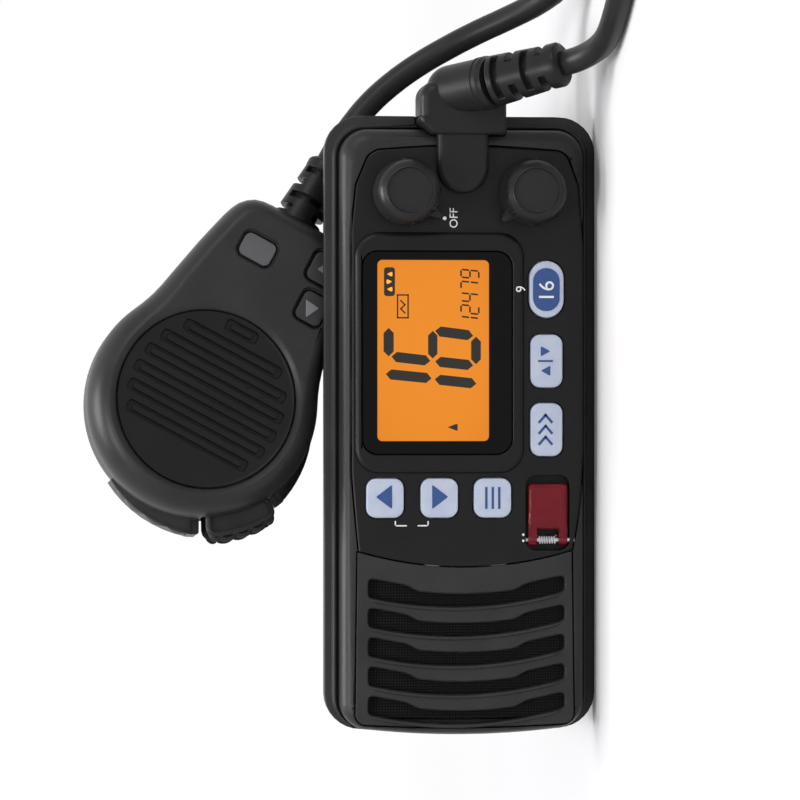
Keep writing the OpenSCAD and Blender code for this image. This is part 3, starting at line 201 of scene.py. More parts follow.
class Shader:
    """The node tree of one material, or of the world."""

    def __init__(self, name: str, kind: Any = None) -> None:
        """Starts an empty tree, in a new material if no other kind of data is given."""
        self.owner = (bpy.data.materials if kind is None else kind).new(name)
        self.owner.use_nodes = True
        self.tree = self.owner.node_tree
        self.tree.nodes.clear()
        coords = self.tree.nodes.new("ShaderNodeTexCoord")
        self.place = Sock(self, coords.outputs["Object"])

    def node(
        self, kind: str, settings: dict[str, Any], inputs: dict[Any, Any], out: Any = 0
    ) -> Sock:
        """Adds a node.

        Args:
            kind: the node's type.
            settings: its properties, set before its sockets.
            inputs: value or link of each socket, by number or name.
            out: the output wanted, by number or name.

        Returns:
            That output.
        """
        made = self.tree.nodes.new(kind)
        for name, value in settings.items():
            setattr(made, name, value)
        for name, value in inputs.items():
            self.plug(made.inputs[name], value)
        return Sock(self, made.outputs[out])

    def plug(self, socket: bpy.types.NodeSocket, value: Any) -> None:
        """Links or sets one socket."""
        if isinstance(value, Sock):
            self.tree.links.new(value.value, socket)
        elif isinstance(value, tuple) and len(value) == 3 and socket.type == "RGBA":
            socket.default_value = (*value, 1.0)
        else:
            socket.default_value = value

    def axis(self, name: str) -> Sock:
        """One coordinate of the point, in millimetres."""
        split = self.node("ShaderNodeSeparateXYZ", {}, {0: self.place}, name)
        return split * 1000.0

    def noise(self, size: float, detail: float = 2.0, rough: float = 0.5) -> Sock:
        """Noise from 0 to 1 whose patches are about size millimetres wide."""
        inputs = {
            "Vector": self.place,
            "Scale": 1000.0 / size,
            "Detail": detail,
            "Roughness": rough,
        }
        return self.node("ShaderNodeTexNoise", {"noise_dimensions": "3D"}, inputs)

    def cells(self, size: float, feature: str = "F1") -> Sock:
        """Distance pattern of cells about size millimetres wide."""
        inputs = {"Vector": self.place, "Scale": 1000.0 / size}
        return self.node("ShaderNodeTexVoronoi", {"feature": feature}, inputs, "Distance")

    def blend(self, low: Any, high: Any, share: Any) -> Sock:
        """Mixes two colours."""
        settings = {"data_type": "RGBA", "clamp_factor": True}
        return self.node("ShaderNodeMix", settings, {0: share, 6: low, 7: high}, 2)

    def bump(self, height: Sock, depth: float, normal: Sock | None = None) -> Sock:
        """Turns a height from 0 to 1 into a normal.

        Args:
            height: the height.
            depth: what a height of 1 stands for, in millimetres.
            normal: a normal to build on.

        Returns:
            The bumped normal.
        """
        inputs: dict[Any, Any] = {"Height": height, "Strength": 1.0, "Distance": depth * MM}
        if normal is not None:
            inputs["Normal"] = normal
        return self.node("ShaderNodeBump", {}, inputs)

    def seen(self) -> Sock:
        """Is 1 for rays of the camera, gloss and glass."""
        path = self.tree.nodes.new("ShaderNodeLightPath")
        camera, gloss, glass = (
            Sock(self, path.outputs[f"Is {name} Ray"])
            for name in ("Camera", "Glossy", "Transmission")
        )
        return camera.math("ADD", gloss, clamp=True).math("ADD", glass, clamp=True)

    def end(self, result: Sock, kind: str = "ShaderNodeOutputMaterial") -> Any:
        """Ends the tree in an output node, and returns the material or world it belongs to."""
        self.plug(self.tree.nodes.new(kind).inputs[0], result)
        return self.owner

    def surface(self, **sockets: Any) -> bpy.types.Material:
        """Ends the tree in a Principled shader, whose sockets are named in words."""
        inputs = {
            name.replace("_", " ").title().replace("Ior", "IOR"): value
            for name, value in sockets.items()
        }
        return self.end(self.node("ShaderNodeBsdfPrincipled", {}, inputs))


# ---------------------------------------------------------------- finishes


@dataclass(frozen=True)
class Moulding:
    """Moulded plastic or rubber with a fine grain and a faint random mottle."""

    name: str
    paint: Paint
    rough: float = 0.45
    grain: float = 0.35
    depth: float = 0.02
    mottle: float = 0.12
    shine: float = 0.15

    def build(self) -> bpy.types.Material:
        """Makes the material."""
        s = Shader(self.name)
        patches = s.noise(9.0, 4.0)
        fine = s.noise(self.grain, 3.0, 0.6)
        pores = s.cells(self.grain * 1.7)
        tint = self.paint.value
        dark, pale = times(tint, 1 - self.mottle), times(tint, 1 + self.mottle * 1.6)
        colour = s.blend(dark, pale, (patches * 0.6 + fine * 0.4).above(0.3, 0.72))
        rough = patches * 0.12 + fine * 0.08 + (self.rough - 0.1)
        height = fine * 0.55 + pores * 0.45
        return s.surface(
            base_color=colour,
            roughness=rough,
            normal=s.bump(height, self.depth),
            specular_ior_level=self.shine,
        )


@dataclass(frozen=True)
class Gloss:
    """Polished plastic, with faint wiping marks."""

    name: str
    paint: Paint
    rough: float = 0.12

    def build(self) -> bpy.types.Material:
        """Makes the material."""
        s = Shader(self.name)
        marks = s.noise(5.0, 5.0)
        waves = s.noise(30.0, 1.0)
        tint = self.paint.value
        colour = s.blend(tint, times(tint, 1.25), marks)
        return s.surface(
            base_color=colour,
            roughness=marks * 0.1 + self.rough,
            normal=s.bump(waves, 0.03),
            specular_ior_level=0.1,
        )


@dataclass(frozen=True)
class Metal:
    """Machined or plated metal with turning marks and light tarnish."""

    name: str
    paint: Paint
    rough: float = 0.3

    def build(self) -> bpy.types.Material:
        """Makes the material."""
        s = Shader(self.name)
        tarnish = s.noise(4.0, 5.0)
        lines = s.noise(0.25, 1.0)
        tint = self.paint.value
        colour = s.blend(times(tint, 0.62), tint, tarnish.above(0.3, 0.6))
        return s.surface(
            base_color=colour,
            metallic=1.0,
            roughness=tarnish * 0.18 + self.rough - 0.06,
            normal=s.bump(lines, 0.006),
        )


@dataclass(frozen=True)
class Casting:
    """Powder-coated die casting, with a fine orange peel and dusty patches."""

    name: str = "powder_coat"
    paint: Paint = Paint.CASTING

    def build(self) -> bpy.types.Material:
        """Makes the material."""
        s = Shader(self.name)
        peel = s.noise(0.8, 4.0, 0.6)
        dust = s.noise(14.0, 4.0)
        tint = self.paint.value
        colour = s.blend(times(tint, 0.8), times(tint, 1.5), dust)
        return s.surface(
            base_color=colour,
            roughness=dust * 0.15 + peel * 0.1 + 0.5,
            normal=s.bump(peel, 0.05),
            specular_ior_level=0.14,
        )


@dataclass(frozen=True)
class Backlight:
    """Lit display: amber, a little paler in the middle, with a faint fine grain."""

    name: str = "display_backlight"
    paint: Paint = Paint.AMBER
    middle: Point = (18.3, 41.3)
    reach: Point = (24.0, 15.0)

    def build(self) -> bpy.types.Material:
        """Makes the material."""
        s = Shader(self.name)
        x = (s.axis("X") - self.middle[0]) / self.reach[0]
        z = (s.axis("Z") - self.middle[1]) / self.reach[1]
        away = (x * x + z * z).above(0.1, 2.2)
        haze = s.noise(16.0, 2.0)
        tint = self.paint.value
        rim = times(tint, 0.93, 0.84, 0.7)
        colour = s.blend(tint, rim, (away + haze * 0.12 - 0.06).clamp())
        grid = s.noise(0.3, 1.0)
        return s.surface(
            base_color=times(tint, 0.12),
            emission_color=colour,
            emission_strength=0.8,
            specular_ior_level=0.1,
            roughness=grid * 0.2 + 0.4,
            normal=s.bump(grid, 0.004),
        )


@dataclass(frozen=True)
class KeyPlastic:
    """Pale translucent key plastic, a little cooler in soft clouds."""

    name: str = "key_plastic"
    paint: Paint = Paint.KEY

    def build(self) -> bpy.types.Material:
        """Makes the material."""
        s = Shader(self.name)
        cloud = s.noise(3.5, 3.0)
        fine = s.noise(0.22, 2.0)
        tint = self.paint.value
        cool = times(tint, 0.9, 0.93, 1.0)
        colour = s.blend(cool, tint, cloud.above(0.3, 0.7))
        return s.surface(
            base_color=colour,
            roughness=cloud * 0.14 + 0.34,
            normal=s.bump(fine, 0.008),
            subsurface_weight=0.15,
            subsurface_radius=(0.0012, 0.0012, 0.0016),
            specular_ior_level=0.3,
        )


@dataclass(frozen=True)
class ClearRed:
    """Clear red moulding: the light passes, and its edges look deep."""

    name: str = "clear_red"
    paint: Paint = Paint.CLEAR_RED

    def build(self) -> bpy.types.Material:
        """Makes the material."""
        s = Shader(self.name)
        flow = s.noise(2.4, 3.0)
        tint = self.paint.value
        colour = s.blend(times(tint, 0.7), tint, flow)
        return s.surface(
            base_color=colour,
            roughness=flow * 0.08 + 0.06,
            normal=s.bump(flow, 0.03),
            alpha=flow * 0.1 + 0.6,
            coat_weight=0.15,
            coat_roughness=0.04,
            specular_ior_level=0.2,
        )


@dataclass(frozen=True)
class Ink:
    """Printed mark with a faint screen texture."""

    name: str
    paint: Paint
    glow: float = 0.0

    def build(self) -> bpy.types.Material:
        """Makes the material."""
        s = Shader(self.name)
        screen = s.noise(0.25, 2.0)
        tint = self.paint.value
        colour = s.blend(times(tint, 0.82), tint, screen.above(0.25, 0.6))
        return s.surface(
            base_color=colour,
            emission_color=tint,
            emission_strength=self.glow,
            roughness=screen * 0.2 + 0.4,
            normal=s.bump(screen, 0.004),
            specular_ior_level=0.1,
        )


@dataclass(frozen=True)
class Circuit:
    """Solder mask over copper tracks."""

    name: str = "circuit_board"
    paint: Paint = Paint.BOARD

    def build(self) -> bpy.types.Material:
        """Makes the material."""
        s = Shader(self.name)
        tracks = s.cells(3.0, "DISTANCE_TO_EDGE").above(0.02, 0.1)
        tint = self.paint.value
        colour = s.blend(times(tint, 1.7), tint, tracks)
        return s.surface(
            base_color=colour, roughness=tracks * 0.1 + 0.3, normal=s.bump(tracks, 0.03)
        )


@dataclass(frozen=True)
class WovenMesh:
    """Dark woven dust cloth, with painted shade darkening the gaps between its threads."""

    name: str = "dust_mesh"
    # Colour of the gaps between threads: painted shade, darker than the threads themselves.
    valley_shade: Colour = (0.003, 0.003, 0.003)
    thread: Colour = (0.02, 0.02, 0.02)
    count: float = 9.0

    def build(self) -> bpy.types.Material:
        """Makes the material."""
        s = Shader(self.name)
        across, along = (
            (s.axis(name) * self.count).math("SINE") * 0.5 + 0.5 for name in ("X", "Z")
        )
        weave = across * along
        return s.surface(
            # The gaps get the painted shade, the crossings get the threads' own colour.
            base_color=s.blend(self.valley_shade, self.thread, weave),
            roughness=weave * 0.1 + 0.75,
            normal=s.bump(weave, 0.06),
            specular_ior_level=0.05,
        )


# ---------------------------------------------------------------- modelling


class Bench:
    """Edit-mode modelling on plain meshes, with every point given in millimetres."""

    @staticmethod
    def clear() -> None:
        """Leaves edit mode and deselects everything."""
        if bpy.context.object is not None and bpy.context.object.mode != "OBJECT":
            bpy.ops.object.mode_set(mode="OBJECT")
        bpy.ops.object.select_all(action="DESELECT")

    @staticmethod
    def only(obj: bpy.types.Object) -> None:
        """Makes one object the selected and active one."""
        Bench.clear()
        obj.select_set(True)
        bpy.context.view_layer.objects.active = obj

    @staticmethod
    def ngon(name: str, ring: Sequence[Vector]) -> bpy.types.Object:
        """Adds one face whose corners are the ring's points.

        Args:
            name: the new object's name.
            ring: the corners, in order round the face.

        Returns:
            The object.
        """
        Bench.clear()
        bpy.ops.mesh.primitive_circle_add(vertices=len(ring), radius=1.0, fill_type="NGON")
        obj = bpy.context.object
        obj.name = obj.data.name = name
        for vertex, point in zip(obj.data.vertices, ring):
            vertex.co = point * MM
        return obj

    @staticmethod
    def loft(name: str, rings: Sequence[Sequence[Vector]]) -> bpy.types.Object:
        """Extrudes a face through a row of rings that have as many points each.

        Args:
            name: the new object's name.
            rings: the rings from one end to the other.

        Returns:
            The closed solid.
        """
        obj = Bench.ngon(name, rings[0])
        place = {tuple(v.co): i for i, v in enumerate(obj.data.vertices)}
        bpy.ops.object.mode_set(mode="EDIT")
        bpy.ops.mesh.select_mode(type="FACE")
        bpy.ops.mesh.select_all(action="SELECT")
        for ring in rings[1:]:
            bpy.ops.mesh.extrude_region_move()
            mesh = bmesh.from_edit_mesh(obj.data)
            moved = {}
            for vertex in [v for v in mesh.verts if v.select]:
                index = place[tuple(vertex.co)]
                vertex.co = ring[index] * MM
                moved[tuple(vertex.co)] = index
            place = moved
            bmesh.update_edit_mesh(obj.data)
        Bench.outward(obj)
        return obj

    @staticmethod
    def outward(obj: bpy.types.Object) -> None:
        """Turns the faces of a closed mesh outwards."""
        Bench.only(obj)
        bpy.ops.object.mode_set(mode="EDIT")
        bpy.ops.mesh.select_all(action="SELECT")
        bpy.ops.mesh.normals_make_consistent(inside=False)
        bpy.ops.object.mode_set(mode="OBJECT")

    @staticmethod
    def apply(obj: bpy.types.Object, kind: str, **settings: Any) -> None:
        """Adds a modifier and applies it.

        Args:
            obj: the object.
            kind: the modifier's type.
            settings: its properties.
        """
        Bench.only(obj)
        modifier = obj.modifiers.new(kind.title(), kind)
        for name, value in settings.items():
            setattr(modifier, name, value)
        bpy.ops.object.modifier_apply(modifier=modifier.name)

    @staticmethod
    def cut(obj: bpy.types.Object, *tools: bpy.types.Object) -> None:
        """Takes other solids away from a solid, one after the other, and uses them up."""
        for tool in tools:
            Bench.apply(obj, "BOOLEAN", operation="DIFFERENCE", object=tool, solver="EXACT")
            mesh = tool.data
            bpy.data.objects.remove(tool)
            bpy.data.meshes.remove(mesh)

    @staticmethod
    def soften(
        obj: bpy.types.Object, width: float, steps: int = 2, angle: float = 30.0
    ) -> None:
        """Rounds the sharp edges and shades the rest smooth.

        Args:
            obj: the object.
            width: how wide the rounding is.
            steps: its number of faces.
            angle: the least turn of an edge that is rounded.
        """
        Bench.apply(
            obj,
            "BEVEL",
            width=width * MM,
            segments=steps,
            limit_method="ANGLE",
            angle_limit=math.radians(angle),
            use_clamp_overlap=False,
            miter_outer="MITER_ARC",
        )
        Bench.shade(obj)

    @staticmethod
    def shade(obj: bpy.types.Object, angle: float = 38.0) -> None:
        """Shades an object smooth up to an angle."""
        Bench.only(obj)
        bpy.ops.object.shade_smooth_by_angle(angle=math.radians(angle))
        Bench.apply(obj, "WEIGHTED_NORMAL", keep_sharp=True, weight=50)

    @staticmethod
    def merged(node: str, name: str) -> bpy.types.Object:
        """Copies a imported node's mesh into a new object, with its loose triangles welded.

        Args:
            node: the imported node.
            name: the new object's name.

        Returns:
            The copy.
        """
        source = FRAME["nodes"][node]
        obj = bpy.data.objects.new(name, source.data.copy())
        bpy.context.scene.collection.objects.link(obj)
        obj.data.materials.clear()
        Bench.only(obj)
        bpy.ops.object.mode_set(mode="EDIT")
        bpy.ops.mesh.select_all(action="SELECT")
        bpy.ops.mesh.remove_doubles(threshold=WELD)
        bpy.ops.object.mode_set(mode="OBJECT")
        return obj

    @staticmethod
    def join(name: str, *parts: bpy.types.Object) -> bpy.types.Object:
        """Joins objects into one that takes the given name."""
        Bench.only(parts[0])
        for part in parts[1:]:
            part.select_set(True)
        bpy.ops.object.join()
        parts[0].name = parts[0].data.name = name
        return parts[0]

    @staticmethod
    def copy(obj: bpy.types.Object, name: str, place: Matrix) -> bpy.types.Object:
        """Copies an object with its own mesh and moves the mesh.

        Args:
            obj: the object to copy.
            name: the copy's name.
            place: the movement, in millimetres.

        Returns:
            The copy.
        """
        made = bpy.data.objects.new(name, obj.data.copy())
        bpy.context.scene.collection.objects.link(made)
        Bench.move(made, place)
        return made

    @staticmethod
    def move(obj: bpy.types.Object, place: Matrix) -> None:
        """Moves an object's mesh by a matrix whose shift is in millimetres."""
        scaled = place.copy()
        scaled.translation = place.translation * MM
        obj.data.transform(scaled)
        if place.determinant() < 0:
            Bench.outward(obj)


def circle(radius: float, count: int, start: float = 0.0) -> Outline:
    """Points of a circle about the origin."""
    turns = [2 * math.pi * i / count + math.radians(start) for i in range(count)]
    return [(radius * math.cos(t), radius * math.sin(t)) for t in turns]


def arc(
    radius: float, start: float, sweep: float, steps: int, middle: Point = (0.0, 0.0)
) -> Outline:
    """Points of an arc.

    Args:
        radius: its radius.
        start: the angle where it starts, in degrees.
        sweep: the angle that it spans, in degrees.
        steps: its number of segments.
        middle: its centre.

    Returns:
        Its points.
    """
    turns = [math.radians(start + sweep * i / steps) for i in range(steps + 1)]
    return [(middle[0] + radius * math.cos(t), middle[1] + radius * math.sin(t)) for t in turns]


def fillet(steps: int) -> list[Point]:
    """How far a rounded edge comes in and forwards at each step, as shares of its radius."""
    turns = [math.radians(90 * i / steps) for i in range(steps + 1)]
    return [(1 - math.cos(t), math.sin(t)) for t in turns]


def box_outline(width: float, height: float, corner: float, steps: int = 6) -> Outline:
    """Outline of a rounded rectangle about the origin, counterclockwise.

    Args:
        width: its width.
        height: its height.
        corner: its corner radius.
        steps: the number of segments of a corner.

    Returns:
        Its points.
    """
    points = []
    for quarter in range(4):
        sx, sy = ((1, 1), (-1, 1), (-1, -1), (1, -1))[quarter]
        cx, cy = sx * (width / 2 - corner), sy * (height / 2 - corner)
        for i in range(steps + 1):
            turn = math.pi / 2 * (quarter + i / steps)
            points.append((cx + corner * math.cos(turn), cy + corner * math.sin(turn)))
    return points


def inset(outline: Sequence[Point], depth: float) -> Outline:
    """Moves each point of a counterclockwise outline inwards, square to its sides."""
    moved = []
    count = len(outline)
    for i, (x, y) in enumerate(outline):
        (px, py), (nx, ny) = outline[i - 1], outline[(i + 1) % count]
        before = Vector((y - py, px - x)).normalized()
        after = Vector((ny - y, x - nx)).normalized()
        both = (before + after).normalized()
        reach = depth / max(0.3, both.dot(after))
        moved.append((x - both.x * reach, y - both.y * reach))
    return moved


def rounded(outline: Sequence[Point], radius: float, steps: int = 5) -> Outline:
    """Rounds the corners of an outline.

    Args:
        outline: its points.
        radius: how far from a corner the rounding starts.
        steps: the number of segments of a corner.

    Returns:
        The rounded outline.
    """
    made = []
    count = len(outline)
    for i, at in enumerate(outline):
        here = Vector(at)
        before, after = Vector(outline[i - 1]) - here, Vector(outline[(i + 1) % count]) - here
        reach = min(radius, before.length * 0.49, after.length * 0.49)
        first, last = here + before.normalized() * reach, here + after.normalized() * reach
        for k in range(steps + 1):
            t = k / steps
            point = first * (1 - t) ** 2 + here * 2 * t * (1 - t) + last * t * t
            made.append((point.x, point.y))
    return made


def upright(outline: Sequence[Point], y: float, middle: Point = (0.0, 0.0)) -> Ring:
    """Stands an outline up in the plane of the front, at a depth y."""
    return [Vector((middle[0] + a, y, middle[1] + b)) for a, b in outline]


def stack(
    outline: Sequence[Point],
    steps: Sequence[Point],
    middle: Point = (0.0, 0.0),
    place: Callable[..., Ring] = upright,
) -> list[Ring]:
    """Rings of one outline, for a solid with stepped or rounded edges.

    Args:
        outline: the outline.
        steps: how far each ring is inset, and its depth.
        middle: where the outline's origin lies.
        place: what puts an outline at a depth.

    Returns:
        The rings.
    """
    return [place(inset(outline, inward), depth, middle) for inward, depth in steps]


def prism(
    name: str, outline: Sequence[Point], back: float, front: float, middle: Point = (0.0, 0.0)
) -> bpy.types.Object:
    """Builds a straight-sided solid between two depths of the front."""
    return Bench.loft(name, [upright(outline, back, middle), upright(outline, front, middle)])


@dataclass(frozen=True)
class Axes:
    """A frame of its own for pieces that stand askew: x, y and z directions from a point."""

    origin: Vector
    x: Vector
    y: Vector
    z: Vector

    @classmethod
    def along(cls, origin: Vector, axis: Vector) -> Axes:
        """A frame whose z follows a unit axis."""
        side = axis.cross(Vector((1, 0, 0))).normalized()
        return cls(origin, side, axis.cross(side), axis)

    def ring(self, outline: Sequence[Point], height: float) -> Ring:
        """Puts an outline at a height along z."""
        return [self.origin + self.x * a + self.y * b + self.z * height for a, b in outline]

    def matrix(self) -> Matrix:
        """The frame as a matrix that turns its own points into the set's."""
        rows = [(*axis, at) for axis, at in zip(zip(self.x, self.y, self.z), self.origin)]
        return Matrix((*rows, (0, 0, 0, 1)))


def lathe(name: str, axes: Axes, profile: Sequence[Point], count: int = 96) -> bpy.types.Object:
    """Turns a profile about the z of a frame.

    Args:
        name: the new object's name.
        axes: the frame.
        profile: radius and height of each step.
        count: the number of sides.

    Returns:
        The closed solid.
    """
    return Bench.loft(name, [axes.ring(circle(r, count), h) for r, h in profile])


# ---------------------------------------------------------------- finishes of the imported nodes


def finishes() -> dict[str, bpy.types.Material]:
    """Makes every finish once, by the material slot that it stands for."""
    made = {
        "case_plastic": Moulding("case_plastic", Paint.CASE, 0.36, 0.3, 0.02),
        "shoulder_plastic": Moulding("shoulder_plastic", Paint.SHOULDER, 0.38, 0.42, 0.05),
        "flange_plastic": Moulding("flange_plastic", Paint.FLANGE, 0.34, 0.3, 0.02),
        "seal_rubber": Moulding("seal_rubber", Paint.RUBBER, 0.7, 0.4, 0.02),
        "mesh_fabric": WovenMesh(),
        "speaker_metal": Metal("speaker_metal", Paint.STEEL, 0.4),
        "lens_gloss": Gloss("lens_gloss", Paint.LENS),
        "display_amber": Backlight(),
        "key_plastic": KeyPlastic(),
        "circuit_board": Circuit(),
        "steel": Metal("steel", Paint.STEEL, 0.28),
        "red_key_plastic": Moulding("red_key_plastic", Paint.CRIMSON, 0.35, 0.3, 0.01),
        "red_clear_plastic": ClearRed(),
        "painted_casting": Casting(),
        "insert_brass": Metal("insert_brass", Paint.BRASS, 0.3),
        "socket_chrome": Metal("socket_chrome", Paint.NICKEL, 0.18),
        "lead_rubber": Moulding("lead_rubber", Paint.RUBBER, 0.36, 0.25, 0.012),
        "cord_rubber": Moulding("cord_rubber", Paint.CORD, 0.38, 0.25, 0.012),
        "mic_plastic": Moulding("mic_plastic", Paint.MIC, 0.36, 0.34, 0.03),
        "grille_plastic": Moulding("grille_plastic", Paint.MIC_GRILLE, 0.4, 0.3, 0.02),
        "mic_key_rubber": Moulding("mic_key_rubber", Paint.MIC_KEY, 0.55, 0.3, 0.01),
        "arrow_key_rubber": Moulding("arrow_key_rubber", Paint.MIC_ARROW_KEY, 0.5, 0.3, 0.01),
        "talk_rubber": Moulding("talk_rubber", Paint.CORD, 0.5, 0.35, 0.02),
        "switch_plastic": Moulding("switch_plastic", Paint.KNOB, 0.45, 0.3, 0.01),
        "capsule_metal": Metal("capsule_metal", Paint.NICKEL, 0.35),
        "knob_plastic": Moulding("knob_plastic", Paint.KNOB, 0.3, 0.22, 0.01, 0.06),
        "white_ink": Ink("white_ink", Paint.WHITE_MARK),
        "grey_ink": Ink("grey_ink", Paint.GREY_MARK),
        "blue_ink": Ink("blue_ink", Paint.KEY_MARK),
        "display_ink": Ink("display_ink", Paint.DIGIT),
        "pale_ink": Ink("pale_ink", Paint.WHITE_MARK),
        "bare_field": Ink("bare_field", Paint.AMBER, 0.9),
    }
    return {slot: finish.build() for slot, finish in made.items()}


@dataclass
class Shop:
    """The finishes, and the way a piece joins the set."""

    finish: dict[str, bpy.types.Material]

    def add(
        self,
        obj: bpy.types.Object,
        body: Body | str,
        *nodes: str,
        slot: str | None = None,
        finish: str | None = None,
    ) -> bpy.types.Object:
        """Dresses a piece, and makes it ride and stand for nodes.

        Args:
            obj: the piece.
            body: the body that it moves with.
            nodes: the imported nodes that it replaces.
            slot: the record's material slot, where it isn't the first node's.
            finish: the finish, where it isn't the slot's own.

        Returns:
            The piece.
        """
        slots = {part["node"]: part["material_slot"] for part in FRAME["record"]["subparts"]}
        slot = slot or slots[nodes[0]]
        obj.data.materials.clear()
        obj.data.materials.append(self.finish[finish or slot])
        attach(obj, body.value if isinstance(body, Body) else body)
        if nodes:
            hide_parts(*nodes)
        LOG.info("%s rides on %s", obj.name, body)
        return obj

    def dress_nodes(self) -> None:
        """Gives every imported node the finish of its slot."""
        for part in FRAME["record"]["subparts"]:
            node = FRAME["nodes"].get(part["node"])
            if node is not None:
                node.data.materials.clear()
                node.data.materials.append(self.finish[part["material_slot"]])


# ---------------------------------------------------------------- camera, light and floor


@dataclass
class Studio:
    """Camera, lamps and floor."""

    target: Vector = field(default_factory=lambda: Vector((6.2, -60.0, 49.45)))
    distance: float = 1000.0
    elevation: float = 6.0
    lens: float = 183.15
    sensor: float = 36.0
    clip_start: float = 0.05
    aim: Vector = field(default_factory=lambda: Vector((6, -50, 50)))
    lamps: tuple[tuple[str, tuple[float, float, float], float, float], ...] = (
        ("key_light", (-220, -860, 1060), 380, 9),
        ("top_light", (-40, 90, 1350), 560, 16),
        ("fill_light", (1000, -900, 450), 500, 4),
    )
    ambient: float = 0.42
    floor_size: float = 9000.0
    floor_seen: Colour = (0.66, 0.66, 0.67)
    floor_fade: tuple[float, float, float, float] = (0.12, 0.45, 0.06, 1.0)

    def camera(self) -> None:
        """Puts the camera where the photographer stood, held on its side."""
        rise = math.radians(self.elevation)
        sine, cosine = math.sin(rise), math.cos(rise)
        right, up, back = (0, -sine, -cosine), (1, 0, 0), (0, -cosine, sine)
        at = (self.target + Vector(back) * self.distance) * MM
        rows = [(right[i], up[i], back[i], at[i]) for i in range(3)]
        data = bpy.data.cameras.new("camera")
        data.lens = self.lens
        data.sensor_width = self.sensor
        data.clip_start = self.clip_start
        obj = bpy.data.objects.new("camera", data)
        bpy.context.scene.collection.objects.link(obj)
        obj.matrix_world = Matrix((*rows, (0, 0, 0, 1)))
        bpy.context.scene.camera = obj

    def lights(self) -> None:
        """Lights the set from the front, softly, with a little more from its top."""
        for name, place, size, power in self.lamps:
            at = Vector(place)
            data = bpy.data.lights.new(name, "AREA")
            data.size = size * MM
            data.energy = power
            obj = bpy.data.objects.new(name, data)
            bpy.context.scene.collection.objects.link(obj)
            turn = (self.aim - at).to_track_quat("-Z", "Y").to_matrix().to_4x4()
            turn.translation = at * MM
            obj.matrix_world = turn

    def background(self) -> None:
        """Makes the surroundings an even grey light that looks white."""
        s = Shader("surroundings", bpy.data.worlds)
        light = s.node("ShaderNodeBackground", {}, {0: Paint.FLOOR.value, 1: self.ambient})
        white = s.node("ShaderNodeBackground", {}, {0: WHITE, 1: 1.0})
        mix = s.node("ShaderNodeMixShader", {}, {0: s.seen(), 1: light, 2: white})
        bpy.context.scene.world = s.end(mix, "ShaderNodeOutputWorld")

    def floor(self) -> None:
        """Lays a pale floor that looks white from afar and keeps the shadow."""
        Bench.clear()
        bpy.ops.mesh.primitive_plane_add(size=self.floor_size * MM)
        plane = bpy.context.object
        plane.name = "floor"
        s = Shader("floor_paper")
        seen = s.seen()
        tone = s.blend(Paint.FLOOR.value, self.floor_seen, seen)
        away = s.node("ShaderNodeVectorMath", {"operation": "LENGTH"}, {0: s.place}, "Value")
        inputs = {0: away, **dict(enumerate(self.floor_fade, 1))}
        far = s.node("ShaderNodeMapRange", {"interpolation_type": "SMOOTHSTEP"}, inputs)
        paper = s.node("ShaderNodeBsdfDiffuse", {}, {0: tone})
        glow = s.node("ShaderNodeEmission", {}, {0: WHITE})
        mix = s.node("ShaderNodeMixShader", {}, {0: seen * far, 1: paper, 2: glow})
        plane.data.materials.append(s.end(mix))

    def build(self) -> None:
        """Sets up the studio."""
        self.camera()
        self.lights()
        self.background()
        self.floor()
        bpy.context.scene.view_settings.view_transform = "Standard"


# ---------------------------------------------------------------- the microphone's cord


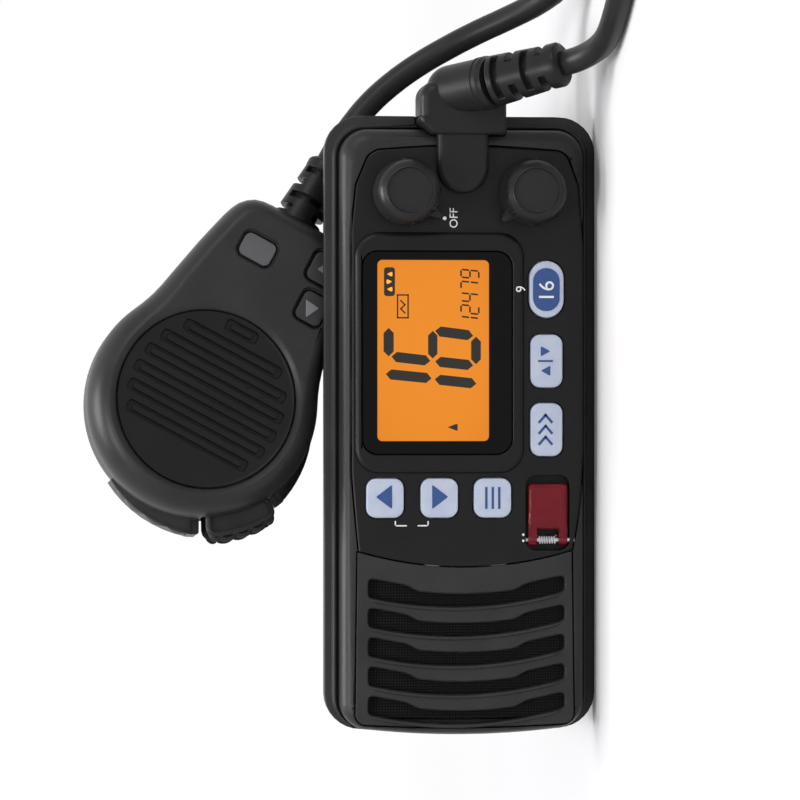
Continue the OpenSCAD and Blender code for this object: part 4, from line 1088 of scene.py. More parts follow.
@dataclass
class Cord:
    """The curly cord from the elbow to the microphone, lying in a U beside the set."""

    diameter: float = 6.2
    turns: int = 19
    curl: float = 8.0
    opening: float = 1.4
    lay: float = 3.1
    start: Point = (130.0, -62.0)
    bend: float = 42.0
    arm: float = 25.0
    steps: int = 16
    least_step: float = 1.4
    slack: float = 1.006
    plug_end: tuple[tuple[float, float, float], ...] = (
        (87, -75.9, 14.5), (87.8, -78, 11.2), (88.8, -81.6, 7.9), (90.2, -86.2, 5.3),
        (91.8, -91.6, 3.8), (94, -97.8, 3.2), (96.8, -104.5, 3.1), (100.6, -112, 3.1),
        (105.2, -119.6, 3.1), (110.6, -127.6, 3.1), (116.5, -135.6, 3.1), (123, -142.8, 3.1),
    )
    mic_end: tuple[tuple[float, float, float], ...] = (
        (62.5, -31, 66.6), (66, -30.5, 64.7), (71, -29.6, 61.8), (76, -28.4, 58.2),
        (81, -27, 54), (86, -26, 48.6), (91, -26, 41.8), (95.5, -27.4, 34.2),
        (99.5, -30.6, 26.4), (103, -35.6, 18.6), (106.6, -42, 11.6), (111, -49, 6.6),
        (116.5, -55.5, 3.9), (123, -60.6, 3.1),
    )

    def _along(self, way: float) -> tuple[float, float, float]:
        """Middle line of the U: its place and heading after a way from the start."""
        x, y = self.start
        if way < self.arm:
            return x + way, y, 0.0
        turned = (way - self.arm) / self.bend
        if turned < math.pi:
            cx, cy = x + self.arm, y - self.bend
            return cx + self.bend * math.sin(turned), cy + self.bend * math.cos(turned), -turned
        rest = way - self.arm - math.pi * self.bend
        return x + self.arm - rest, y - 2 * self.bend, -math.pi

    def curls(self) -> list[tuple[float, float, float]]:
        """Points of the curls, from the microphone's end to the plug's."""
        whole = 2 * self.arm + math.pi * self.bend
        run = whole - 2 * self.diameter
        count = self.turns * self.steps
        points = []
        for i in range(count + 1):
            share = i / count
            x, y, heading = self._along(self.diameter + share * run)
            open_up = min(1.0, min(share, 1 - share) * self.turns / self.opening)
            radius = self.curl * open_up * open_up * (3 - 2 * open_up)
            turn = math.radians(360 * self.turns * share - 90)
            side = radius * math.cos(turn)
            lift = self.lay + radius + radius * math.sin(turn)
            points.append((x - side * math.sin(heading), y + side * math.cos(heading), lift))
        return points

    def route(self) -> list[Vector]:
        """The whole cord's middle line, from the elbow to the microphone."""
        x, y = self.start
        far = (x, y - 2 * self.bend, self.lay)
        near = (x, y, self.lay)
        curls = list(reversed(self.curls()))
        line = [Vector(p) for p in (*self.plug_end, far, *curls, near, *reversed(self.mic_end))]
        kept = line[:1]
        for point in line[1:]:
            if (point - kept[-1]).length > self.least_step:
                kept.append(point)
        return kept

    def build(self, shop: Shop) -> None:
        route = self.route()
        data = bpy.data.curves.new("curly_cord", "CURVE")
        data.dimensions = "3D"
        data.resolution_u = 3
        data.bevel_depth = self.diameter / 2 * MM
        data.bevel_resolution = 5
        data.use_fill_caps = True
        spline = data.splines.new("BEZIER")
        spline.bezier_points.add(len(route) - 1)
        for knot, point in zip(spline.bezier_points, route):
            knot.co = point * MM
            knot.handle_left_type = knot.handle_right_type = "AUTO"
        obj = bpy.data.objects.new("curly_cord", data)
        bpy.context.scene.collection.objects.link(obj)
        shop.add(obj, Body.SET, "cord_mic_end", "cord_curly", "cord_plug_end")
        tuple(Vector(self.plug_end[1]) * MM)

# ---------------------------------------------------------------- the front of the set


def front_loops(node: str, y: float) -> list[Outline]:
    """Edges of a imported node's flat face at a depth.

    Args:
        node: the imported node.
        y: the face's depth.

    Returns:
        Its closed outlines as (X, Z), counterclockwise, the largest first.
    """
    mesh = bmesh.new()
    mesh.from_mesh(FRAME["nodes"][node].data)
    bmesh.ops.remove_doubles(mesh, verts=mesh.verts, dist=WELD)
    flat = {f for f in mesh.faces if all(abs(v.co.y / MM - y) < 0.01 for v in f.verts)}
    near: dict[Any, list[Any]] = {}
    for edge in mesh.edges:
        if sum(f in flat for f in edge.link_faces) == 1:
            one, other = edge.verts
            near.setdefault(one, []).append(other)
            near.setdefault(other, []).append(one)
    loops = []
    while near:
        at = next(iter(near))
        loop = [at]
        while near.get(loop[-1]):
            after = near[loop[-1]].pop()
            near[after].remove(loop[-1])
            if after is at:
                break
            loop.append(after)
        near = {v: others for v, others in near.items() if others}
        if len(loop) > 2:
            loops.append([(v.co.x / MM, v.co.z / MM) for v in loop])
    mesh.free()
    loops = [thin(loop if area(loop) > 0 else loop[::-1], 0.4) for loop in loops]
    return sorted(loops, key=area, reverse=True)


def thin(outline: Sequence[Point], least: float) -> Outline:
    """Drops the points of an outline that lie closer together than a length."""
    kept = [outline[0]]
    for point in outline[1:]:
        if math.dist(point, kept[-1]) > least and math.dist(point, kept[0]) > least:
            kept.append(point)
    return kept


def area(outline: Sequence[Point]) -> float:
    """Area inside an outline, positive when it runs counterclockwise."""
    pairs = zip(outline, [*outline[1:], outline[0]])
    return sum(a[0] * b[1] - b[0] * a[1] for a, b in pairs) / 2


@dataclass
class FrontShell:
    """Bezel with its rounded shoulder, the flange behind it, and the control panel's insert."""

    width: float = 153.0
    height: float = 67.5
    corner: float = 9.0
    bulge: float = 1.3
    foot_y: float = -52.5
    face_y: float = FACE_Y
    insert_back: float = -57.8
    foot: float = 3.6
    foot_left: float = 0.2
    rounding: float = 3.6
    left_share: float = 0.4
    seam: float = 0.3
    rebate: float = 0.7
    notch: tuple[Point, Point, float] = ((71.3, 23.2), (90.0, 44.8), 3.0)
    display_hole: tuple[Point, tuple[float, float, float]] = ((17.8, 39.7), (56.2, 38.8, 4.5))
    shaft_hole: float = 3.4
    recess: tuple[Point, tuple[float, float, float]] = ((-21.6, 12.8), (18.6, 10.9, 2.6))
    recess_wall: float = 1.2
    tray_depths: tuple[float, float, float] = (-56.2, -57.0, -57.85)
    well: tuple[float, tuple[float, float, float]] = (-19.35, (7.6, 7.6, 0.9))

    def outline(self, depth: float, left: float) -> Outline:
        """Outline of the front, with the speaker end bowed.

        Args:
            depth: how far it is inset.
            left: how far its left end is inset.

        Returns:
            Its points, counterclockwise.
        """
        r = self.corner - depth * 0.6
        x0 = -self.width / 2 + self.bulge + left
        x1 = self.width / 2 - depth
        z0, z1, middle = depth, self.height - depth, self.height / 2
        points: Outline = []
        corners = ((x1 - r, z1 - r), (x0 + r, z1 - r), (x0 + r, z0 + r), (x1 - r, z0 + r))
        for quarter, (cx, cz) in enumerate(corners):
            for i in range(15):
                turn = math.pi / 2 * (quarter + i / 14)
                points.append((cx + r * math.cos(turn), cz + r * math.sin(turn)))
            if quarter == 1:
                for i in range(1, 16):
                    t = 1 - i / 8
                    x = x0 - self.bulge * (1 - t * t)
                    points.append((x, middle + t * (z1 - r - middle)))
        return points

    def bezel(self, shop: Shop) -> None:
        """Builds the bezel round the control panel's insert and the louvres' one."""
        rings = [upright(self.outline(self.foot, self.foot_left), self.foot_y)]
        for inward, forward in fillet(12):
            depth = self.rounding * inward
            y = self.face_y + self.rounding * (1 - forward)
            left = self.foot_left + self.left_share * depth
            rings.append(upright(self.outline(self.foot + depth, left), y))
        shell = Bench.loft("bezel_shoulder", rings)
        for loop in (front_loops("control_panel", self.face_y)[0], LouvrePlate().border()):
            for grow, front in ((self.seam, self.face_y - 1), (self.rebate, self.insert_back)):
                Bench.cut(shell, prism("tool", inset(loop, -grow), self.foot_y + 1, front))
        (x0, z0), (x1, z1), slope = self.notch
        notch = [(x0, z0), (x1, z0), (x1, z1), (x0 + slope, z1), (x0, z1 - slope)]
        Bench.cut(shell, prism("tool", notch, -40, BEFORE))
        Bench.soften(shell, 0.3, 2, 35)
        shop.add(shell, Body.SET, "front_bezel", finish="shoulder_plastic")

    def inserts(self, shop: Shop) -> None:
        """Builds the flange and the control panel's insert."""
        flange = Bench.merged("panel_flange", "flange_plate")
        Bench.soften(flange, 0.35, 2)
        shop.add(flange, Body.SET, "panel_flange")
        shop.add(self.control_plate(), Body.SET, "control_panel")

    def control_plate(self) -> bpy.types.Object:
        """Builds the insert that holds the display, the keys and the distress switch's tray."""
        outer = front_loops("control_panel", self.face_y)[0]
        face = self.face_y + 0.4
        steps = [(0, self.foot_y), (0, self.insert_back), (0, face), (0.08, face - 0.24),
                 (0.35, face - 0.4), (0.5, face - 0.4)]
        plate = Bench.loft("control_plate", stack(outer, steps))
        cave = thin(inset(outer, 1.4), 1.2)
        Bench.cut(plate, prism("tool", cave, BEHIND, self.insert_back))
        middle, size = self.recess
        holes = [((x, z), box_outline(w + 0.6, h + 0.6, r + 0.25))
                 for _, _, x, z, w, h, r in Keypad().places]
        holes.append((self.display_hole[0], box_outline(*self.display_hole[1])))
        holes.append((middle, box_outline(*size)))
        holes += [((Knobs().x, z), circle(self.shaft_hole, 32)) for _, _, _, z, _ in Knobs().places]
        y = self.face_y
        steps = [(0, BEHIND), (0, y + 0.25), (-0.05, y + 0.1), (-0.25, y - 0.01), (-0.25, y - 4)]
        Bench.cut(plate, *[Bench.loft("tool", stack(hole, steps, at)) for at, hole in holes])
        width, height, corner = size
        wall = self.recess_wall
        tray = box_outline(width + 2 * wall, height + 2 * wall, corner + wall)
        back, bottom, front = self.tray_depths
        floor = prism("tray", tray, back, front, middle)
        well_x, well = self.well
        Bench.cut(
            floor,
            prism("tool", box_outline(*size), bottom, CLEAR, middle),
            prism("tool", box_outline(*well), BEHIND, CLEAR, (well_x, middle[1])),
        )
        plate = Bench.join("control_plate", plate, floor)
        Bench.shade(plate, 35)
        return plate

    def build(self, shop: Shop) -> None:
        """Builds the shell."""
        self.bezel(shop)
        self.inserts(shop)


@dataclass
class Display:
    """Raised frame, black lens and the lit field behind it."""

    middle: Point = (17.8, 40.3)
    window: tuple[float, float, float] = (50.0, 37.2, 4.0)
    frame: tuple[float, float, float] = (59.2, 41.8, 6.0)
    frame_drop: float = 0.6
    face_y: float = FACE_Y
    proud: float = 1.2
    lens_back: float = -59.6
    lens_front: float = -60.8
    field: tuple[float, float, float] = (44.5, 27.6, 1.2)
    field_middle: Point = (18.35, 41.3)

    def surround(self, shop: Shop) -> None:
        """Builds the raised frame."""
        outer = box_outline(*self.frame, 10)
        steps = [(1.6, -57.9), (1.6, -59.99), (0, -59.99)]
        steps += [(1.4 * inward, self.face_y - self.proud * up) for inward, up in fillet(8)]
        at = (self.middle[0], self.middle[1] - self.frame_drop)
        body = Bench.loft("display_frame", stack(outer, steps, at))
        w, h, r = self.window
        hole = box_outline(w + 0.2, h + 0.2, r, 10)
        ledge = box_outline(w - 2.8, h - 2.8, r - 1, 10)
        for loop, back in ((hole, self.lens_back), (ledge, BEHIND)):
            Bench.cut(body, prism("tool", loop, back, BEFORE, self.middle))
        Bench.soften(body, 0.35, 3, 40)
        shop.add(body, Body.SET, "lcd_bezel")

    def lens(self, shop: Shop) -> None:
        """Builds the black lens and the lit field behind its clear part."""
        outer = box_outline(*self.window, 10)
        steps = [(0, self.lens_back)]
        steps += [(0.35 * inward, self.lens_front + 0.35 * (1 - up)) for inward, up in fillet(4)]
        lens = Bench.loft("display_lens", stack(outer, steps, self.middle))
        hole = box_outline(*self.field, 5)
        Bench.cut(lens, prism("tool", hole, -58, CLEAR, self.field_middle))
        Bench.soften(lens, 0.06, 1, 60)
        shop.add(lens, Body.SET, "lcd_window")
        w, h, r = self.field
        sheet = box_outline(w + 0.6, h + 0.6, r, 5)
        lit = prism("display_field", sheet, -57.9, -60.45, self.field_middle)
        shop.add(lit, Body.SET, "lcd_module")

    def build(self, shop: Shop) -> None:
        """Builds the display."""
        self.surround(shop)
        self.lens(shop)


@dataclass
class Keypad:
    """Pale crowned keys of the front."""

    back_y: float = -56.8
    edge_y: float = -60.55
    places: tuple[tuple[str, str, float, float, float, float, float], ...] = (
        ("up_key", "key_up", -17.9, 53.2, 9.6, 9.2, 2.4),
        ("down_key", "key_down", -17.9, 39.8, 9.6, 9.2, 2.4),
        ("menu_key", "key_menu", -17.9, 26.6, 9.6, 9.2, 2.4),
        ("scan_key", "key_scan", -1.1, 13.2, 13.0, 7.9, 2.4),
        ("channel_key", "key_channel", 15.8, 13.2, 13.0, 7.9, 2.4),
        ("sixteen_key", "key_16", 33.5, 13.2, 14.0, 8.5, 4.24),
    )

    def cap(
        self, name: str, middle: Point, width: float, height: float, corner: float
    ) -> bpy.types.Object:
        """Builds one cap with a crowned top.

        Args:
            name: its name.
            middle: its middle on the front.
            width: its width.
            height: its height.
            corner: its corner radius.

        Returns:
            The cap.
        """
        outer = box_outline(width, height, corner, 8)
        brim = self.back_y - 0.9
        steps = [(-0.5, self.back_y), (-0.5, brim), (0, brim)]
        edge = ((0, 0), (0.05, 0.12), (0.16, 0.23), (0.36, 0.31), (0.7, 0.36))
        steps += [(inward, self.edge_y - rise) for inward, rise in edge]
        rings = stack(outer, steps, middle)
        plateau = inset(outer, 0.7)
        for size in (0.86, 0.7, 0.5, 0.3, 0.1):
            ring = [(x * size, z * size) for x, z in plateau]
            rings.append(upright(ring, self.edge_y - 0.37 - 0.11 * (1 - size * size), middle))
        obj = Bench.loft(name, rings)
        Bench.shade(obj, 30)
        return obj

    def build(self, shop: Shop) -> None:
        """Builds the keys, each on its own body."""
        for name, node, x, z, width, height, corner in self.places:
            shop.add(self.cap(name, (x, z), width, height, corner), f"{node}_cap", node)


@dataclass
class LouvrePlate:
    """Speaker insert with five bowed louvres, each with a raised lip."""

    count: int = 5
    pitch: float = 7.2
    first: float = -41.6
    middle_z: float = 32.9
    height: float = 48.7
    bow: float = 3.1
    tilt: float = 0.7
    end_width: float = 4.3
    mid_width: float = 3.1
    jog: float = 0.6
    back_y: float = -57.8
    face_y: float = FACE_Y
    lip: float = 0.6
    corner_box: tuple[float, float, float, float] = (-73.6, 6.3, 60.4, 2.6)
    divider: tuple[float, float, float] = (56.7, 33.45, 91.75)
    step: float = 0.5

    def border(self) -> Outline:
        """Outline of the plate, counterclockwise from its lower left corner."""
        x0, low, high, r = self.corner_box
        cx, cz, radius = self.divider
        points = [(x0 + r + a, low + r + b) for a, b in circle(r, 32, 180)[:9]]
        for i in range(25):
            z = low + self.step + (high - low - 2 * self.step) * i / 24
            points.append((cx - math.sqrt(radius ** 2 - (z - cz) ** 2), z))
        points += [(x0 + r + a, high - r + b) for a, b in circle(r, 32, 90)[:9]]
        for i in range(1, 12):
            t = 1 - i / 6
            half = (high - low) / 2 - r
            points.append((x0 - 0.7 * (1 - t * t), (high + low) / 2 + t * half))
        return points

    def left(self, t: float) -> float:
        """Left edge of the first slot, for t from -1 to 1."""
        return self.first - self.bow * (1 - t * t) - self.tilt * t

    def slot(self) -> Outline:
        """Outline of the first slot, counterclockwise."""
        half = self.height / 2
        ts = [i / 12 - 1 for i in range(25)]
        left = [(self.left(t), self.middle_z + t * half) for t in ts]
        right = []
        for t in (-1, -0.6, -0.5, -0.25, 0, 0.25, 0.5, 0.6, 1):
            width = self.end_width if abs(t) >= self.jog else self.mid_width
            right.append((self.left(t) + width + self.tilt * t * 0.6, self.middle_z + t * half))
        return rounded(right + left[::-1], 1.5, 4)

    def ridge(self) -> list[Ring]:
        """Rings of the first slot's lip, from its lower end to its upper one."""
        rings = []
        for i in range(33):
            t = 0.97 * (i / 16 - 1)
            ends = min(1.0, (1 - abs(t)) * 9 + 0.15)
            middle = Vector((self.left(t) - 0.5, 0, self.middle_z + t * self.height / 2))
            ring = [
                middle + Vector((
                    0.55 * ends * across, self.face_y + 0.4 - (self.lip + 0.4) * ends * forward, 0
                ))
                for across, forward in circle(1.0, 12)
            ]
            rings.append(ring)
        return rings

    def build(self, shop: Shop) -> None:
        """Builds the plate."""
        outer = self.border()
        back, face = self.back_y, self.face_y
        crown = face + 0.42
        steps = [(0.1, -52.6), (0, back), (0, crown), (0.06, crown - 0.25), (0.35, crown - 0.42)]
        plate = Bench.loft("louvre_plate", stack(outer, steps))
        cave = thin(inset(outer, 1.5), 1.2)
        Bench.cut(plate, prism("tool", cave, BEHIND, back))
        steps = [(0, back + 2), (0, face + 0.5), (-0.12, face + 0.2), (-0.45, face - 0.05),
                 (-0.45, face - 2)]
        tools = [Bench.loft("tool", stack(self.slot(), steps))]
        lips = [Bench.loft("lip", self.ridge())]
        for i in range(1, self.count):
            shift = Matrix.Translation((-i * self.pitch, 0, 0))
            tools.append(Bench.copy(tools[0], "tool", shift))
            lips.append(Bench.copy(lips[0], "lip", shift))
        Bench.cut(plate, Bench.join("tool", *tools))
        plate = Bench.join("louvre_plate", plate, *lips)
        Bench.shade(plate, 35)
        shop.add(plate, Body.SET, "speaker_grille", finish="shoulder_plastic")


@dataclass
class Knobs:
    """Volume and squelch knobs."""

    x: float = 57.3
    foot_y: float = -60.3
    radius: float = 8.3
    height: float = 9.7
    reach: float = 2.2
    lift: float = 2.6
    places: tuple[tuple[str, str, Body, float, float], ...] = (
        ("volume_knob", "knob_volume", Body.VOLUME, 47.9, 233.0),
        ("squelch_knob", "knob_squelch", Body.SQUELCH, 16.8, 133.0),
    )

    def knob(self, name: str, z: float, angle: float) -> bpy.types.Object:
        """Builds one knob.

        Args:
            name: its name.
            z: its height on the front.
            angle: where its pointer stands, counterclockwise from the right.

        Returns:
            The knob.
        """
        turn = math.radians(angle)
        out = Vector((math.cos(turn), 0, math.sin(turn)))
        side = Vector((-math.sin(turn), 0, math.cos(turn)))
        axes = Axes(Vector((self.x, self.foot_y, z)), out, side, Vector((0, -1, 0)))
        r, h = self.radius, self.height
        profile = [(r - 0.2, 0), (r, 0.2), (r, 1.1), (r - 0.15, 1.5), (r - 0.3, 3), (r - 0.5, 6.4),
                   (r - 0.75, 7.6), (r - 1.2, 8.5), (r - 1.75, 9.1), (r - 2.2, 9.4),
                   (r - 2.4, h - 0.05), (r - 2.55, h), (r - 2.7, h - 0.05), (r - 2.85, h - 0.35),
                   (r - 2.95, h - 0.8), (r - 3.3, h - 0.95), (r - 5, h - 1.0), (1.0, h - 1.02)]
        body = lathe(name, axes, profile, 96)
        tab = [(r - 2.4, -2.5), (r + self.reach, -0.5), (r + self.reach, 0.5), (r - 2.4, 2.5)]
        tab = rounded(tab, 0.5, 3)
        steps = ((0, 0), (0, 1.5), (0.12, 1.8), (0.4, 2.0))
        rings = [axes.ring(inset(tab, inward), self.lift + rise) for inward, rise in steps]
        parts = [Bench.loft("tab", rings)]
        rib = rounded([(r - 2, -0.6), (r - 0.15, -0.45), (r - 0.15, 0.45), (r - 2, 0.6)], 0.3, 2)
        parts.append(self.rib("rib", axes, rib, (0.6, h - 2.2, h - 1.3), 0.94))
        grip = [(r - 1, -0.45), (r + 0.02, -0.28), (r + 0.02, 0.28), (r - 1, 0.45)]
        grip = rounded(grip, 0.25, 2)
        bump = self.rib("grip", axes, grip, (2.0, 5.4, 6.0), 0.96)
        for k in range(1, 8):
            spin = Matrix.Rotation(math.radians(45 * k), 4, Vector((0, -1, 0)))
            place = Matrix.Translation(axes.origin) @ spin @ Matrix.Translation(-axes.origin)
            parts.append(Bench.copy(bump, "grip", place))
        bpy.data.objects.remove(bump)
        body = Bench.join(name, body, *parts)
        Bench.shade(body, 34)
        return body

    @staticmethod
    def rib(
        name: str, axes: Axes, outline: Outline, levels: Sequence[float], taper: float
    ) -> bpy.types.Object:
        """Builds an upright rib whose top is narrower.

        Args:
            name: its name.
            axes: the knob's frame.
            outline: its outline.
            levels: its foot, its shoulder and its top.
            taper: how far its top reaches out, as a share of the outline.

        Returns:
            The rib.
        """
        foot, shoulder, top = levels
        small = [(a * taper, b * 0.7) for a, b in outline]
        rings = [axes.ring(outline, foot), axes.ring(outline, shoulder), axes.ring(small, top)]
        return Bench.loft(name, rings)

    def build(self, shop: Shop) -> None:
        """Builds both knobs."""
        for name, node, body, z, angle in self.places:
            shop.add(self.knob(name, z, angle), body, node, finish="knob_plastic")


@dataclass
class DistressSwitch:
    """Red key under a clear red lid."""

    key: tuple[float, float, float] = (7.2, 7.2, 0.8)

    def build(self, shop: Shop) -> None:
        """Builds the key and the lid."""
        low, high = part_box("distress_key")
        low, high = low / MM, high / MM
        middle = ((low.x + high.x) / 2, (low.z + high.z) / 2)
        outer = box_outline(*self.key, 4)
        brim = box_outline(high.x - low.x, high.z - low.z, 0.8, 4)
        shoulder = high.y - 0.5
        steps = ((0, shoulder), (0, low.y + 0.5), (0.15, low.y + 0.15), (0.5, low.y))
        rings = stack(brim, ((0, high.y), (0, shoulder)), middle) + stack(outer, steps, middle)
        key = Bench.loft("red_key", rings)
        Bench.shade(key, 35)
        shop.add(key, Body.DISTRESS_BUTTON, "distress_key")
        lid = Bench.merged("distress_cover", "red_lid")
        Bench.soften(lid, 0.22, 2)
        shop.add(lid, Body.DISTRESS_LID, "distress_cover")


@dataclass
class LeadCover:
    """Collar, elbow and strain relief of the microphone's lead."""

    z: float = 34.0
    face_y: float = FACE_Y
    tongue_x: float = 63.4
    tongue_r: float = 6.4
    collar: tuple[float, float, float] = (71.4, 76.0, 10.7)
    collar_back: float = -50.0
    collar_front: float = -64.0
    elbow_width: float = 8.6
    elbow_at: Vector = field(default_factory=lambda: Vector((82.4, -59, 36.5)))
    elbow_r: float = 6.3
    relief_from: Vector = field(default_factory=lambda: Vector((84, -68, 27.5)))
    relief_to: Vector = field(default_factory=lambda: Vector((87.4, -77, 12.8)))
    relief_length: float = 19.0
    relief_tip: float = 5.4

    def tongue(self) -> bpy.types.Object:
        """Builds the round-ended tongue on the panel."""
        r, end = self.tongue_r, self.collar[0] + 1
        tip = arc(r, 90, 180, 24, (self.tongue_x, self.z))
        outline = [(end, self.z + r), *tip, (end, self.z - r)]
        rings = [upright(outline, self.face_y + 0.05)]
        for inward, forward in fillet(7):
            y = self.face_y - 0.9 - 1.7 * forward
            rings.append(self._flat_side(inset(outline, 1.5 * inward), end, y))
        return Bench.loft("tongue", rings)

    def collar_block(self) -> bpy.types.Object:
        """Builds the collar over the edge of the front."""
        x0, x1, h = self.collar
        z, front = self.z, self.collar_front
        steps = [(0.0, self.collar_back)]
        steps += [(1.2 * inward, front + 1.2 * (1 - forward)) for inward, forward in fillet(5)]
        rings = []
        for d, y in steps:
            outline = [(x1, z - h + d), (x1, z + h - d), (x0 + 3 + d * 0.4, z + h - d),
                       (x0 + d, z + h - 3 - d * 0.4), (x0 + d, z - h + d)]
            rings.append(upright(rounded(outline, 0.6, 3), y))
        return Bench.loft("collar", rings)

    def elbow(self) -> bpy.types.Object:
        """Builds the block beside the collar and the round elbow that leaves it."""
        x0, h, w = self.collar[1], self.collar[2], self.elbow_width
        outline = [(x0, self.z - h)]
        for rise, start in ((-h + 4, -90), (h - 4, 0)):
            outline += arc(4, start, 90, 8, (x0 + w - 4, self.z + rise))
        outline.append((x0, self.z + h))
        back, front = self.collar_back + 0.4, self.collar_front
        steps = [(1.6, back), (0.9, back - 0.4), (0.25, back - 1.0), (0, back - 1.7)]
        steps += [(2.6 * inward, front + 2.6 - 2.6 * forward) for inward, forward in fillet(8)]
        rings = [self._flat_side(inset(outline, inward), x0, y) for inward, y in steps]
        block = Bench.loft("elbow_block", rings)
        way = self.relief_from - self.elbow_at
        axes, run = Axes.along(self.elbow_at, way.normalized()), way.length
        r = self.elbow_r
        turns = [math.radians(a) for a in range(8, 90, 9)]
        profile = [(r * math.sin(t), -r * math.cos(t)) for t in turns]
        profile += [(r, 0)]
        for left in (3.2, 1.6):
            profile += [(r, run - left), (r + 0.22, run - (left - 0.2)),
                        (r + 0.22, run - (left - 0.9)), (r, run - (left - 1.1))]
        profile.append((r - 0.3, run + 0.5))
        arm = lathe("arm", axes, profile, 64)
        return Bench.join("lead_block", block, arm)

    @staticmethod
    def _flat_side(outline: Outline, x: float, y: float) -> Ring:
        """Stands an outline up with its first and last points at one x, where it meets a side."""
        points = [(x, outline[0][1]), *outline[1:-1], (x, outline[-1][1])]
        return upright(points, y)

    def build(self, shop: Shop) -> None:
        """Builds the three pieces."""
        cover = Bench.join("lead_collar", self.collar_block(), self.tongue())
        Bench.shade(cover, 40)
        shop.add(cover, Body.SET, "lead_cover")
        elbow = self.elbow()
        Bench.shade(elbow, 40)
        shop.add(elbow, Body.SET, "lead_elbow")
        axis = (self.relief_to - self.relief_from).normalized()
        axes = Axes.along(self.relief_from + axis * 0.5, axis)
        relief = cage("lead_cage", axes, self.relief_length, self.elbow_r, self.relief_tip, 3.4)
        shop.add(relief, Body.SET, "lead_relief")


def cage(
    name: str, axes: Axes, length: float, first: float, last: float, ferrule: float
) -> bpy.types.Object:
    """Builds a strain relief with staggered slots.

    Args:
        name: its name.
        axes: its start, with z along the cord.
        length: its length.
        first: its radius at the start.
        last: its radius before the ferrule.
        ferrule: the length of its plain end.

    Returns:
        The relief.
    """
    levels = 4
    run = length - ferrule
    profile = [(first - 0.3, 0), (first, 0.3)]
    profile += [(first + (last - first) * i / 8, 0.3 + (run - 0.6) * i / 8) for i in range(1, 9)]
    profile += [(last + 0.1, run + 0.1), (last + 0.1, length - 1.2), (last - 0.25, length - 0.6),
                (last - 0.9, length - 0.1), (last - 1.2, length)]
    body = lathe(name, axes, profile, 64)
    tools = []
    pitch = run / levels
    for level in range(levels):
        height = 0.5 + pitch * (level + 0.5)
        radius = first + (last - first) * height / run
        far = arc(radius * 1.3, -62, 120, 10)
        share = (radius - 1.7) / (radius * 1.3)
        outline = far + [(x * share, y * share) for x, y in reversed(far)]
        for half in (0, 180):
            turn = math.radians(half + (90 if level % 2 else 0))
            out = axes.x * math.cos(turn) + axes.y * math.sin(turn)
            local = Axes(axes.origin + axes.z * height, out, axes.z.cross(out), axes.z)
            rings = [local.ring(outline, rise * pitch * 0.24) for rise in (-1, 1)]
            tools.append(Bench.loft("tool", rings))
    Bench.cut(body, Bench.join("tool", *tools))
    Bench.soften(body, 0.12, 1, 40)
    return body


# ---------------------------------------------------------------- the microphone

MIC = Axes(
    Vector((5.0, -40.3, 97.45)),
    Vector((0.87239, 0.14012, -0.46826)).normalized(),
    Vector((0.47341, -0.00389, 0.88084)).normalized(),
    Vector((0.12160, -0.99009, -0.06976)).normalized(),
)
OWN = Axes(Vector((0, 0, 0)), Vector((1, 0, 0)), Vector((0, 1, 0)), Vector((0, 0, 1)))


def mic_outline() -> list[tuple[float, float, float]]:
    """Outline of the microphone's case seen from its front.

    Returns:
        Points x and y, counterclockwise, and the share of the neck in each.
    """
    side = [(12.0, 26.15), (15.0, 24.75), (18.0, 23.6), (21.0, 22.75), (25.0, 21.9),
            (30.0, 20.8), (35.0, 19.7), (40.0, 18.4), (44.0, 17.3), (46.4, 16.5), (48.4, 15.5),
            (50.0, 14.1), (51.2, 12.3), (51.8, 10.2), (52.0, 7.6)]
    low = [(x, -y, min(1.0, max(0.0, (x - 8) / 16))) for x, y in side]
    points = [(x, y, 0.0) for x, y in arc(28.8, 68.5, 223, 72)]
    points += low
    points += [(52.0, y, 1.0) for y in (-4.0, 0.0, 4.0)]
    points += [(x, -y, share) for x, y, share in reversed(low)]
    return points


